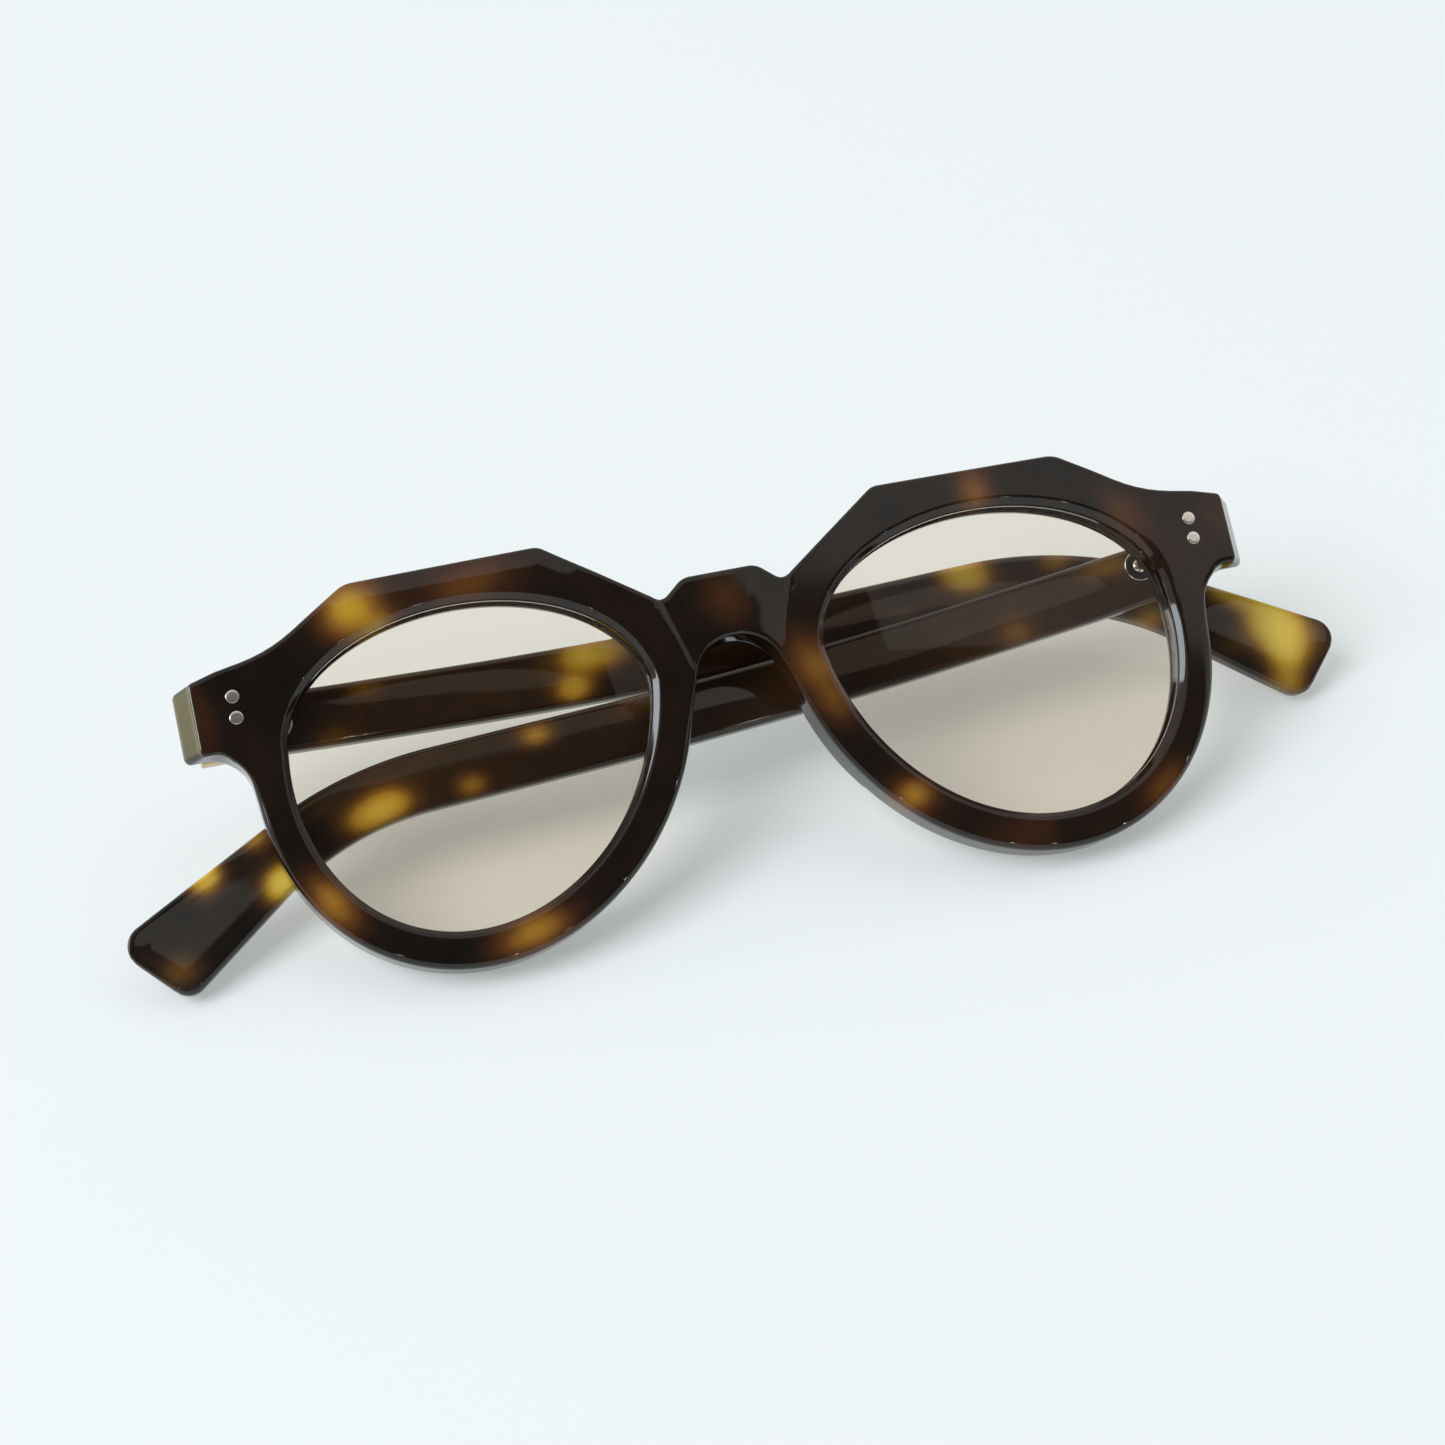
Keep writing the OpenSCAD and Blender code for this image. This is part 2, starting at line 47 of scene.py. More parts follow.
# All shapes are worked out in millimetres in the front's own frame:
# x to the right, y up the front, z out of its face, y = 0 at the middle of the hinges.
acetateFront = dict(
    lensWide=47.7, lensUp=15.2, lensDown=27.1, lensSweep=3.6, lensDrop=6.0,  # opening for the lens
    bridgeGap=23.4, thick=6.0, curve=800.0,
    rimTemple=4.65, rimNose=5.2, rimTop=5.3,  # widths of the rim
    crownWide=25.7, crownNoseR=2.5, crownTempleR=4.0,  # flat top of the rim
    endReach=13.4, endHigh=9.6, endUp=5.4, endSlant=26.6, endR=1.0, endStart=2.5, endInset=2.5,
    browRise=2.2, browR=20.0, armpitR=5.5, armpitOut=1.0,  # curves from the rim into the end piece
    bridgeUp=6.85, bridgeHigh=8.75, bumpWide=10.0, bumpR=2.8,  # raised middle of the bridge
    notchWide=16.4, notchDeep=2.65, notchR=1.6, archWide=8.6, archR=5.5,
    frontEdge=0.55, lowEdge=1.2, lowEdgeAt=-14.0, lowEdgeRun=8.0, backEdge=0.6,  # rounded edges
    rollWide=4.0, rollDeep=0.3, rollFrom=15.0, rollTo=54.0, rollRun=6.0,  # fall of the crown's face to its edge
    rollUp=-1.0, rollUpRun=4.0, rollBridge=0.4, rollBridgeTo=8.0, rollBridgeRun=3.0,
    bevelWide=1.05, bevelSlope=1.1, bevelSoft=0.4, backLip=0.5,  # lips round the lens
    # painted light: a paler tone laid on the bevel round each lens opening, stronger towards the opening's top,
    # stands in for light falling on that bevel
    bevelPaintedLight=0.06, paintedLightRun=8.0, paintedLightIn=0.3,
    creaseDeep=0.55, creaseFade=0.15, creaseFall=8.0, creaseEnd=7.0, creaseOut=4.0, creaseBow=1.5,
    creaseRun=4.8, creaseStep=1.2, creaseTaper=7.0, creaseLeast=0.15, creaseLean=0.22,
    baseTone=0.07, endTone=-0.48, endToneIn=0.1, endToneRun=0.07,
)
lensSizes = dict(thick=2.0, curve=260.0, sunk=1.2, groove=0.8, gap=0.05)
hingePlace = dict(pinIn=5.0, pinBack=2.6, leafIn=5.2, margin=1.0, lean=38.9)


def unit(v):
    return v / np.linalg.norm(v, axis=-1, keepdims=True)


def openingAt(t):
    # lens opening: half an ellipse above its widest level, a deeper one swept to the temple below it
    a = acetateFront
    s = np.sin(t)
    mid = (a["bridgeGap"] + a["lensWide"]) / 2
    x = mid + a["lensWide"] / 2 * np.cos(t) - a["lensSweep"] * np.minimum(s, 0)
    y = np.where(s > 0, a["lensUp"], a["lensDown"]) * s - a["lensDrop"]
    return np.stack([x, y], -1)


def openingOut(t):
    # unit normal of that opening, pointing into the rim
    a = acetateFront
    s, c = np.sin(t), np.cos(t)
    high = np.where(s > 0, a["lensUp"], a["lensDown"])
    return unit(np.stack([high * c, a["lensWide"] / 2 * s + np.where(s < 0, a["lensSweep"] * c, 0)], -1))


def besideOpening(t, w):
    return openingAt(t) + np.asarray(w)[..., None] * openingOut(t)


def rimWide(t):
    # width of the rim round the opening, from the temple's side to the nose's
    a = acetateFront
    return (a["rimTemple"] + a["rimNose"]) / 2 + (a["rimTemple"] - a["rimNose"]) / 2 * np.cos(t)


def frontZ(x):
    return np.sqrt(acetateFront["curve"] ** 2 - x * x) - acetateFront["curve"]


def backZ(x):
    return np.sqrt((acetateFront["curve"] - acetateFront["thick"]) ** 2 - x * x) - acetateFront["curve"]


def arcCorner(a, q, b, r, step=4.0):
    # arc of radius r that rounds the corner q between the points a and b
    a, q, b = (np.asarray(p, float)[:2] for p in (a, q, b))
    toA, toB = unit(a - q), unit(b - q)
    half = math.acos(float(np.clip(toA @ toB, -1, 1))) / 2
    mid = q + unit(toA + toB) * r / math.sin(half)
    start = q + toA * r / math.tan(half) - mid
    first = math.atan2(start[1], start[0])
    side = math.copysign(1, toA[0] * toB[1] - toA[1] * toB[0])
    sweep = side * (2 * half - math.pi)
    turn = first + np.linspace(0, sweep, max(6, int(abs(math.degrees(sweep)) / step) + 1))
    return mid + r * np.stack([np.cos(turn), np.sin(turn)], -1)


def filled(parts, gap):
    # joins stretches of points and adds points to every straight longer than gap
    path = np.concatenate([np.atleast_2d(p) for p in parts])
    out = [path[:1]]
    for p, q in zip(path[:-1], path[1:]):
        count = max(1, int(math.ceil(np.linalg.norm(q - p) / gap)))
        out.append(p + (q - p) * np.linspace(0, 1, count + 1)[1:, None])
    return np.concatenate(out)


def along(path):
    return np.concatenate([[0], np.cumsum(np.linalg.norm(np.diff(path, axis=0), axis=1))])


def resampled(path, share):
    # points of a path at the given shares of its length
    run = along(path)
    return np.stack([np.interp(share * run[-1], run, path[:, k]) for k in range(path.shape[1])], -1)


def edgeDistance(points, path, closed=True):
    # distance of every point from a line of points
    ends = np.concatenate([path, path[:1]]) if closed else path
    a, d = ends[:-1], np.diff(ends, axis=0)
    keep = np.linalg.norm(d, axis=1) > 1e-9
    a, d = a[keep], d[keep]
    flat = points.reshape(-1, 2)
    best = np.full(len(flat), 1e9)
    for first in range(0, len(a), 64):
        p, e = a[first:first + 64], d[first:first + 64]
        s = np.clip(((flat[:, None] - p) * e).sum(-1) / (e * e).sum(-1), 0, 1)
        best = np.minimum(best, np.linalg.norm(flat[:, None] - p - s[..., None] * e, axis=-1).min(1))
    return best.reshape(points.shape[:-1])


def quarter(d, wide, deep):
    # drop of a rounded edge: a quarter ellipse that ends upright at the edge
    s = np.clip(1 - d / wide, 0, 1)
    return deep * (1 - np.sqrt(1 - s * s))


def lip(d, wide, slope, soft):
    # drop of a bevelled edge: a straight slope to the edge, eased into the face over a soft width
    s = np.maximum(wide - d, 0)
    return slope * np.where(s < soft, s * s / (2 * soft), s - soft / 2)


def roll(d, wide, deep):
    # gentle fall of a polished face towards its edge
    return deep * np.clip(1 - d / wide, 0, 1) ** 2


def smooth(s):
    s = np.clip(s, 0, 1)
    return s * s * (3 - 2 * s)


def edgeShares(radius, count=7):
    # spacing that follows a quarter circle: close at the edge, wider inside it
    return radius * (1 - np.cos(np.linspace(0, math.pi / 2, count)))


def gridQuads(rows, cols, closed=False):
    # corner numbers of a grid's faces, rows by columns, joined round when closed
    i, j = np.meshgrid(np.arange(rows - 1), np.arange(cols if closed else cols - 1), indexing="ij")
    k = (j + 1) % cols
    return np.stack([i * cols + j, i * cols + k, (i + 1) * cols + k, (i + 1) * cols + j], -1).reshape(-1, 4)


def coons(bottom, top, left, right, shareU, shareV):
    # surface between four edge lines: across from left to right by shareU, up from bottom to top by shareV
    u, v = shareU[None, :, None], shareV[:, None, None]
    b, t = resampled(bottom, shareU)[None], resampled(top, shareU)[None]
    l, r = resampled(left, shareV)[:, None], resampled(right, shareV)[:, None]
    corners = (1 - u) * ((1 - v) * b[:, :1] + v * t[:, :1]) + u * ((1 - v) * b[:, -1:] + v * t[:, -1:])
    return (1 - v) * b + v * t + (1 - u) * l + u * r - corners


def handOf(side):
    return np.array([-1 if side == "left" else 1, 1, 1])


class Shell:
    # gathers patches of a surface, with a tone for each point, and makes one welded mesh
    def __init__(self):
        self.points, self.quads, self.tones, self.count = [], [], [], 0

    def add(self, points, closed=False, tone=None):
        rows, cols = points.shape[:2]
        self.points.append(points.reshape(-1, 3))
        self.quads.append(gridQuads(rows, cols, closed) + self.count)
        self.tones.append(np.zeros(rows * cols) if tone is None else tone.reshape(-1))
        self.count += rows * cols

    def onSide(self, side):
        # moves what was worked out for the right to its own side
        self.points = [p * handOf(side) for p in self.points]

    def mirrored(self):
        # adds the left half to the right one
        points = np.concatenate(self.points)
        self.points.append(points * [-1, 1, 1])
        self.quads.append(np.concatenate(self.quads)[:, ::-1] + self.count)
        self.tones.append(np.concatenate(self.tones))
        self.count *= 2

    def mesh(self, name, place, toneAt=None):
        points = np.concatenate(self.points)
        tones = np.concatenate(self.tones)
        if toneAt is not None:
            tones = toneAt(points, tones)
        data = bpy.data.meshes.new(name)
        data.from_pydata((place(points) / 1000).tolist(), [], np.concatenate(self.quads).tolist())
        layer = data.attributes.new("tone", "FLOAT", "POINT")
        layer.data.foreach_set("value", tones.astype(np.float32))
        work = bmesh.new()
        work.from_mesh(data)
        bmesh.ops.remove_doubles(work, verts=work.verts, dist=2e-6)
        bmesh.ops.dissolve_degenerate(work, edges=work.edges, dist=1e-7)
        bmesh.ops.recalc_face_normals(work, faces=work.faces)
        work.to_mesh(data)
        work.free()
        data.polygons.foreach_set("use_smooth", np.ones(len(data.polygons), bool))
        data.update()
        piece = bpy.data.objects.new(name, data)
        bpy.context.scene.collection.objects.link(piece)
        return piece


# the front's place follows the hinge of the right temple
lean = math.radians(hingePlace["lean"])
turn = np.array(Matrix.Rotation(lean, 3, "X"))
lensMidX = (acetateFront["bridgeGap"] + acetateFront["lensWide"]) / 2
lensMidY = (acetateFront["lensUp"] - acetateFront["lensDown"]) / 2 - acetateFront["lensDrop"]
lensOutX = lensMidX + acetateFront["lensWide"] / 2
endX = lensOutX + acetateFront["endReach"]
pinX = endX - hingePlace["pinIn"]
seatZ = float(backZ(pinX - hingePlace["leafIn"] - hingePlace["margin"]))
pin = np.array([pinX, 0, seatZ - hingePlace["pinBack"]])
restPlace = 1000 * np.array(joints["right_fold"]["pos_m"]) - turn @ pin


def toWorld(points):
    return points @ turn.T + restPlace


blotchSoft = 1.1


def spotTone(x, y, spots):
    # sum of soft oval blotches, each x, y, half length, half width, turn in degrees, strength;
    # a blotch falls off as e to the minus (distance squared) to the power blotchSoft
    total = np.zeros_like(x)
    for cx, cy, long, wide, angle, strength in spots:
        c, s = math.cos(math.radians(angle)), math.sin(math.radians(angle))
        u = ((x - cx) * c + (y - cy) * s) / long
        v = ((y - cy) * c - (x - cx) * s) / wide
        total = total + strength * np.exp(-(u * u + v * v) ** blotchSoft)
    return total


# The front
frontSpots = [
    (-48.3, 11.0, 4.6, 4.0, 30, 0.92), (-45.0, 6.8, 3.4, 2.2, 35, 0.55), (-31.0, 11.6, 6.5, 3.6, 4, 0.40),
    (-57.6, -26.0, 4.6, 2.6, -60, 0.68), (-33.3, -34.9, 5.4, 2.8, 12, 0.72), (0.3, 2.8, 3.6, 4.0, 0, 0.32),
    (9.6, -7.6, 5.2, 3.4, -68, 0.5), (11.4, -13.8, 3.4, 2.4, -60, 0.3), (18.9, -27.2, 2.9, 2.4, 0, 0.68),
    (32.9, -35.0, 4.0, 2.6, 0, 0.2), (53.0, -32.4, 4.4, 2.6, 40, 0.4), (36.3, 11.0, 2.6, 4.5, 0, 0.46),
    (56.0, 5.2, 4.6, 2.8, -50, 0.34), (69.4, 2.6, 3.0, 4.5, 0, 0.16), (-69.6, 0.8, 2.4, 5.5, 0, 0.24),
]


def frontTone(points, given):
    # blotches of the front, with its two slanted end faces cut through a paler layer
    a = acetateFront
    tone = a["baseTone"] + spotTone(points[:, 0], points[:, 1], frontSpots) + given
    endPlane = endX - (points[:, 2] - seatZ) * math.tan(math.radians(a["endSlant"]))
    onEnd = smooth((np.abs(points[:, 0]) - endPlane + a["endToneIn"]) / a["endToneRun"])
    return tone + (a["endTone"] - tone) * onEnd


# angles round the lens, in degrees, that face the corners of the outline
ringAngles = dict(
    notch=158, crownNose=118, crownTemple=62, brow=20, armpit=-6, rimFrom=-12, rimTo=-165, arch=-177,
)


def buildFront():
    # front and back faces over one outline, each dropped by its distance from the edges, and walls between
    a, g = acetateFront, ringAngles
    crownY = a["lensUp"] - a["lensDrop"] + a["rimTop"]
    endLow = a["endUp"] - a["endHigh"]
    archY = a["bridgeUp"] - a["bridgeHigh"]
    rimT = np.radians(np.linspace(g["rimFrom"], g["rimTo"], 170))
    rim = besideOpening(rimT, rimWide(rimT))
    seamTop, bump = (0, a["bridgeUp"]), (a["bumpWide"] / 2, a["bridgeUp"])
    notch = (a["notchWide"] / 2, a["bridgeUp"] - a["notchDeep"])
    crownNose = (lensMidX - a["crownWide"] / 2, crownY)
    crownTemple = (lensMidX + a["crownWide"] / 2, crownY)
    brow = (lensOutX, a["endUp"] + a["browRise"])
    endTop, endBottom = (endX, a["endUp"]), (endX, endLow)
    armpit = (lensOutX + a["rimTemple"] + a["armpitOut"], endLow)
    arch, seamLow = (a["archWide"] / 2, archY), (0, archY)
    bumpArc = arcCorner(seamTop, bump, notch, a["bumpR"])
    notchArc = arcCorner(bump, notch, crownNose, a["notchR"])
    noseArc = arcCorner(notch, crownNose, crownTemple, a["crownNoseR"])
    templeArc = arcCorner(crownNose, crownTemple, brow, a["crownTempleR"])
    browArc = arcCorner(crownTemple, brow, endTop, a["browR"])
    endTopArc = arcCorner(brow, endTop, endBottom, a["endR"], 10)
    endLowArc = arcCorner(endTop, endBottom, armpit, a["endR"], 10)
    armpitArc = arcCorner(endBottom, armpit, rim[0], a["armpitR"])
    archArc = arcCorner(rim[-1], arch, seamLow, a["archR"])
    nHalf, pHalf = len(notchArc) // 2, len(armpitArc) // 2
    tHalf, lHalf = len(endTopArc) // 2, len(endLowArc) // 2

    # stretches of the outline, and the lines that part bridge and end piece from the ring round the lens
    bridgeTop = filled([np.array(seamTop), bumpArc, notchArc[:nHalf + 1]], 0.5)
    ringTop = filled([notchArc[nHalf:], noseArc, templeArc, browArc], 0.7)
    endUpper = filled([browArc[-1], endTopArc[:tHalf + 1]], 0.5)
    endFace = filled([endTopArc[tHalf:], endLowArc[:lHalf + 1]], 0.5)
    endLower = filled([endLowArc[lHalf:], armpitArc[:pHalf + 1]], 0.5)[::-1]
    ringLow = filled([armpitArc[pHalf:], rim, archArc[0]], 0.7)
    archLine = filled([archArc, np.array(seamLow)], 0.4)[::-1]
    cutEdge = edgeShares(0.12)
    cutShare = np.concatenate([cutEdge, np.linspace(0.12, 0.88, 9)[1:-1], 1 - cutEdge[::-1]])
    cutEnd = ringTop[-1] + (ringLow[0] - ringTop[-1]) * cutShare[:, None]
    cutBridge = ringLow[-1] + (ringTop[0] - ringLow[-1]) * cutShare[:, None]

    # ring: straight lines from the opening at angle t to the outline, closer together at both edges
    runTop = along(ringTop)
    noseAt = np.argmin(np.linalg.norm(ringTop - noseArc[len(noseArc) // 2], axis=1))
    templeAt = np.argmin(np.linalg.norm(ringTop - templeArc[len(templeArc) // 2], axis=1))
    rimAt = np.argmin(np.linalg.norm(ringLow - rim[0], axis=1))
    rimEnd = np.argmin(np.linalg.norm(ringLow - rim[-1], axis=1))
    topT = np.interp(runTop, runTop[[0, noseAt, templeAt, -1]],
                     [g["notch"], g["crownNose"], g["crownTemple"], g["brow"]])
    lowT = np.concatenate([
        np.linspace(g["armpit"], g["rimFrom"], rimAt + 1)[:-1],
        np.interp(np.arange(rimAt, rimEnd + 1), [rimAt, rimEnd], [g["rimFrom"], g["rimTo"]]),
        np.linspace(g["rimTo"], g["arch"], len(ringLow) - rimEnd)[1:]])
    endT = g["brow"] + (g["armpit"] - g["brow"]) * cutShare
    bridgeT = g["arch"] + (g["notch"] - 360 - g["arch"]) * cutShare
    outer = np.concatenate([ringTop[:-1], cutEnd[:-1], ringLow[:-1], cutBridge[:-1]])
    t = np.radians(np.concatenate([topT[:-1], endT[:-1], lowT[:-1], bridgeT[:-1]]))
    inner = openingAt(t)
    length = np.linalg.norm(outer - inner, axis=1)
    near = np.append(np.linspace(0, a["bevelWide"], 12), a["bevelWide"] + 0.15)[:, None] / length
    far = 1 - edgeShares(a["lowEdge"] * 1.05, 9)[::-1, None] / length
    middle = near[-1:] + (far[:1] - near[-1:]) * np.linspace(0, 1, 8)[1:-1, None]
    share = np.concatenate([near, middle, far])
    ring = inner + (outer - inner) * share[..., None]

    # bridge and end piece: each a surface between four edge lines
    bridge = coons(archLine, bridgeTop, np.array([seamLow, seamTop]), cutBridge,
                   np.concatenate([np.linspace(0, 0.9, 40), [0.93, 0.955, 0.975, 0.99, 1]]), cutShare)
    bridge[:, -1] = cutBridge
    endShare = np.concatenate([np.linspace(0, 0.9, 26), 1 - edgeShares(0.1)[::-1][1:]])
    end = coons(endLower, endUpper, cutEnd[::-1], endFace[::-1], endShare, cutShare)
    end[:, 0] = cutEnd[::-1]

    def slanted(points, endAt):
        # draws the end piece in, so that its end face slants from back to front
        start = lensOutX + a["rimTemple"] + a["endStart"]
        x = points[..., 0]
        x = np.where(x > start, start + (x - start) * (endAt - start) / (endX - start), x)
        return np.stack([x, points[..., 1]], -1)

    slope = math.tan(math.radians(a["endSlant"]))
    edgeZ = float(frontZ(endX - a["endInset"])) - a["frontEdge"]
    frontEnd = endX - (edgeZ - seatZ) * slope
    backEnd = endX - a["backEdge"] * slope
    stretches = [bridge[-1], ringTop, end[-1], end[::-1, -1], end[0, ::-1], ringLow, bridge[0, ::-1]]
    outline = np.concatenate([p[:-1] for p in stretches] + [stretches[-1][-1:]])
    whole = np.concatenate([outline, outline[::-1] * [-1, 1]])
    hole = openingAt(np.radians(np.arange(0, 360, 0.75)))
    valley = ringTop[0]

    def crease(points):
        # dip beside the raised middle of the bridge: deepest at the notch,
        # long on the bridge's side of its line and short on the rim's
        below = valley[1] - points[..., 1]
        past = valley[0] - a["creaseLean"] * below - np.abs(points[..., 0])
        deep = a["creaseDeep"] + (a["creaseFade"] - a["creaseDeep"]) * np.clip(below / a["creaseFall"], 0, 1)
        deep = deep * (1 - smooth((below - a["creaseEnd"]) / a["creaseOut"]))
        long = np.clip(1 - past / a["creaseRun"], 0, 1) ** a["creaseBow"]
        step = a["creaseStep"] * np.clip(1 - below / a["creaseTaper"], a["creaseLeast"], 1)
        return deep * np.where(past > 0, long, 1 - smooth(-past / step))

    def faceFront(points):
        p = slanted(points, frontEnd)
        d, o = edgeDistance(p, slanted(whole, frontEnd)), edgeDistance(p, hole)
        upper = smooth((p[..., 1] - a["lowEdgeAt"]) / a["lowEdgeRun"])
        edge = a["lowEdge"] + (a["frontEdge"] - a["lowEdge"]) * upper
        z = frontZ(p[..., 0]) - quarter(d, edge, edge)
        x = np.abs(p[..., 0])
        onBridge = a["rollBridge"] * smooth((a["rollBridgeTo"] - x) / a["rollBridgeRun"])
        crown = np.maximum(smooth((x - a["rollFrom"]) / a["rollRun"]), onBridge)
        crown = crown * smooth((a["rollTo"] - x) / a["rollRun"])
        crown = crown * smooth((p[..., 1] - a["rollUp"]) / a["rollUpRun"])
        z = z - roll(d, a["rollWide"], a["rollDeep"] * crown)
        z = z - lip(o, a["bevelWide"], a["bevelSlope"], a["bevelSoft"]) - crease(p)
        return np.concatenate([p, z[..., None]], -1)

    def faceBack(points):
        p = slanted(points, backEnd)
        d, o = edgeDistance(p, slanted(whole, backEnd)), edgeDistance(p, hole)
        z = np.maximum(backZ(p[..., 0]), seatZ) + quarter(d, a["backEdge"], a["backEdge"])
        z = z + quarter(o, a["backLip"], a["backLip"])
        return np.concatenate([p, z[..., None]], -1)

    shell = Shell()
    # painted light: glow is a paler tone on the bevel next to the opening, rising towards the top of the
    # opening, in place of light on the bevel
    high = smooth((ring[..., 1] + a["lensDrop"]) / a["paintedLightRun"])
    glow = a["bevelPaintedLight"] * high * (1 - smooth(edgeDistance(ring, hole) / a["bevelWide"] - a["paintedLightIn"]))
    for points, closed, tone in ((ring, True, glow), (bridge, False, None), (end, False, None)):
        shell.add(faceFront(points), closed, tone=tone)
        shell.add(faceBack(points), closed)
    # outer wall, from the front's edge to the back's
    rise = np.linspace(0, 1, 7)[:, None, None]
    top, low = faceFront(outline[None])[0], faceBack(outline[None])[0]
    shell.add(top + (low - top) * rise)
    # wall of the opening, with the groove that holds the lens
    swing = math.asin(lensMidX / a["curve"])
    ballFrom = a["curve"] - lensSizes["sunk"] - lensSizes["curve"]
    ball = np.array([ballFrom * math.sin(swing), lensMidY, ballFrom * math.cos(swing) - a["curve"]])

    def lensZ(points, radius):
        return ball[2] + np.sqrt(radius ** 2 - ((points - ball[:2]) ** 2).sum(-1))

    topZ, lowZ = faceFront(inner[None])[0, :, 2], faceBack(inner[None])[0, :, 2]
    deepIn = lensSizes["groove"] + lensSizes["gap"]
    lipZ = lensZ(inner, lensSizes["curve"]) + lensSizes["gap"]
    sillZ = lensZ(inner, lensSizes["curve"] - lensSizes["thick"]) - lensSizes["gap"]
    steps = [(0, topZ), (0, topZ + (lipZ - topZ) * 0.5), (0, lipZ), (deepIn, lipZ),
             (deepIn, sillZ), (0, sillZ), (0, sillZ + (lowZ - sillZ) * 0.5), (0, lowZ)]
    sleeve = np.stack([np.c_[besideOpening(t, np.full(len(t), w)), z] for w, z in steps])
    # the opening's wall takes the same painted light as the bevel's edge
    shell.add(sleeve, True, tone=np.broadcast_to(glow[0], sleeve.shape[:2]))
    shell.mirrored()
    piece = shell.mesh("acetate_front", toWorld, frontTone)
    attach(piece, "front_body")
    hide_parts("front")
    return piece, lensZ


frontPiece, lensZ = buildFront()
print("front built:", len(frontPiece.data.polygons), "faces")


# The lenses
def buildLens(side):
    # two ball faces, each a fan of rings from the lens's middle to its edge in the groove
    t = np.radians(np.linspace(0, 360, 160, endpoint=False))
    edge = besideOpening(t, np.full(len(t), lensSizes["groove"]))
    mid = np.array([lensMidX, lensMidY])
    share = np.concatenate([np.linspace(0.02, 0.96, 16), [0.985, 1]])[:, None, None]
    flat = mid + (edge - mid) * share
    shell = Shell()
    front = np.concatenate([flat, lensZ(flat, lensSizes["curve"])[..., None]], -1)
    back = np.concatenate([flat, lensZ(flat, lensSizes["curve"] - lensSizes["thick"])[..., None]], -1)
    for face in (front, back):
        shell.add(face, True)
        centre = np.repeat(face[:1].mean(1, keepdims=True), face.shape[1], 1)
        shell.add(np.concatenate([centre, face[:1]]), True)
    shell.add(np.stack([front[-1], back[-1]]), True)
    shell.onSide(side)
    piece = shell.mesh(side + "_clear_lens", toWorld)
    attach(piece, "front_body")
    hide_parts(side + "_lens")
    return piece


lensPieces = [buildLens(side) for side in ("left", "right")]
print("lenses built")


# The nose pads
nosePad = dict(
    start=-146.0, end=-174.0, high=2.8, inset=0.9, edgeGap=0.05, sunk=0.3, riseTo=0.8, ridgeAt=0.72,
)


def buildPad(side):
    # fin along the rim's back: round across, and fading to nothing at both ends
    n = nosePad
    t = np.radians(np.linspace(n["start"], n["end"], 40))
    across = np.linspace(0, 1, 15)[:, None]
    w = n["inset"] + (rimWide(t) - n["edgeGap"] - n["inset"]) * across
    flat = besideOpening(np.broadcast_to(t, w.shape), w)
    ends = np.sqrt(np.clip(1 - np.abs(np.linspace(-1, 1, len(t))) ** 3, 0, 1))
    outward = np.clip((across - n["ridgeAt"]) / (1 - n["ridgeAt"]), 0, 1)
    ridge = smooth(across / n["riseTo"]) * np.sqrt(np.clip(1 - outward ** 2, 0, 1))
    base = backZ(flat[..., 0])
    z = base - n["high"] * ends * ridge
    shell = Shell()
    shell.add(np.concatenate([flat, z[..., None]], -1))
    shell.add(np.concatenate([flat, (base + n["sunk"])[..., None]], -1))
    rim = np.concatenate([flat[0], flat[1:-1, -1], flat[-1, ::-1], flat[1:-1, 0][::-1]])
    rimZ = np.concatenate([z[0], z[1:-1, -1], z[-1, ::-1], z[1:-1, 0][::-1]])
    rimBase = backZ(rim[:, 0]) + n["sunk"]
    shell.add(np.stack([np.c_[rim, rimZ], np.c_[rim, rimBase]]), True)
    shell.onSide(side)
    piece = shell.mesh(side + "_pad", toWorld, frontTone)
    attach(piece, "front_body")
    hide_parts(side + "_nose_pad")
    return piece


padPieces = [buildPad(side) for side in ("left", "right")]
print("nose pads built")


# The temples
templeSizes = dict(
    long=155.4, thick=4.0, tipThick=3.8, buttHigh=8.0, shaftHigh=8.2, sag=2.0, sagR=900.0,
    buttTaper=16.0, taperR=60.0, bendAt=120.8, bendStep=1.3, bendTopR=53.0, bendLowR=38.0,
    tipFlare=9.0, tipBack=7.7, tipTopR=3.0, tipLowR=2.6, curlAt=110.0, curlR=260.0,
    toPin=1.7, stopGap=0.15, edge=1.05, buttEdge=0.35, rollWide=3.4, rollDeep=0.16,
    buttRun=4.0, tipRun=13.0, tipEdgeWide=2.6, tipEdgeDeep=1.6,
    slopeFall=0.07, slopeAt=-0.4, slopeWave=0.5, slopeLong=60.0,  # fall of the inner face's upper half
    slopeSoft=0.8, slopeFrom=12.0, slopeFromRun=6.0, slopePast=6.0, slopePastRun=12.0,
    flatAt=19.0, flatSlant=0.55, flatDeep=0.36, flatTilt=0.05, flatR=3.0, flatInset=0.5, flatSoft=0.8,
    baseTone=0.24, tipTone=0.04, tipToneAt=4.0, tipToneRun=8.0,
)
templeSet = dict(
    right=dict(droop=5.2, fold=1.3, lift=-0.75, fall=23.0, buttR=2.4),
    left=dict(droop=-0.6, fold=-2.4, lift=0.65, fall=30.0, buttR=0.3),
)
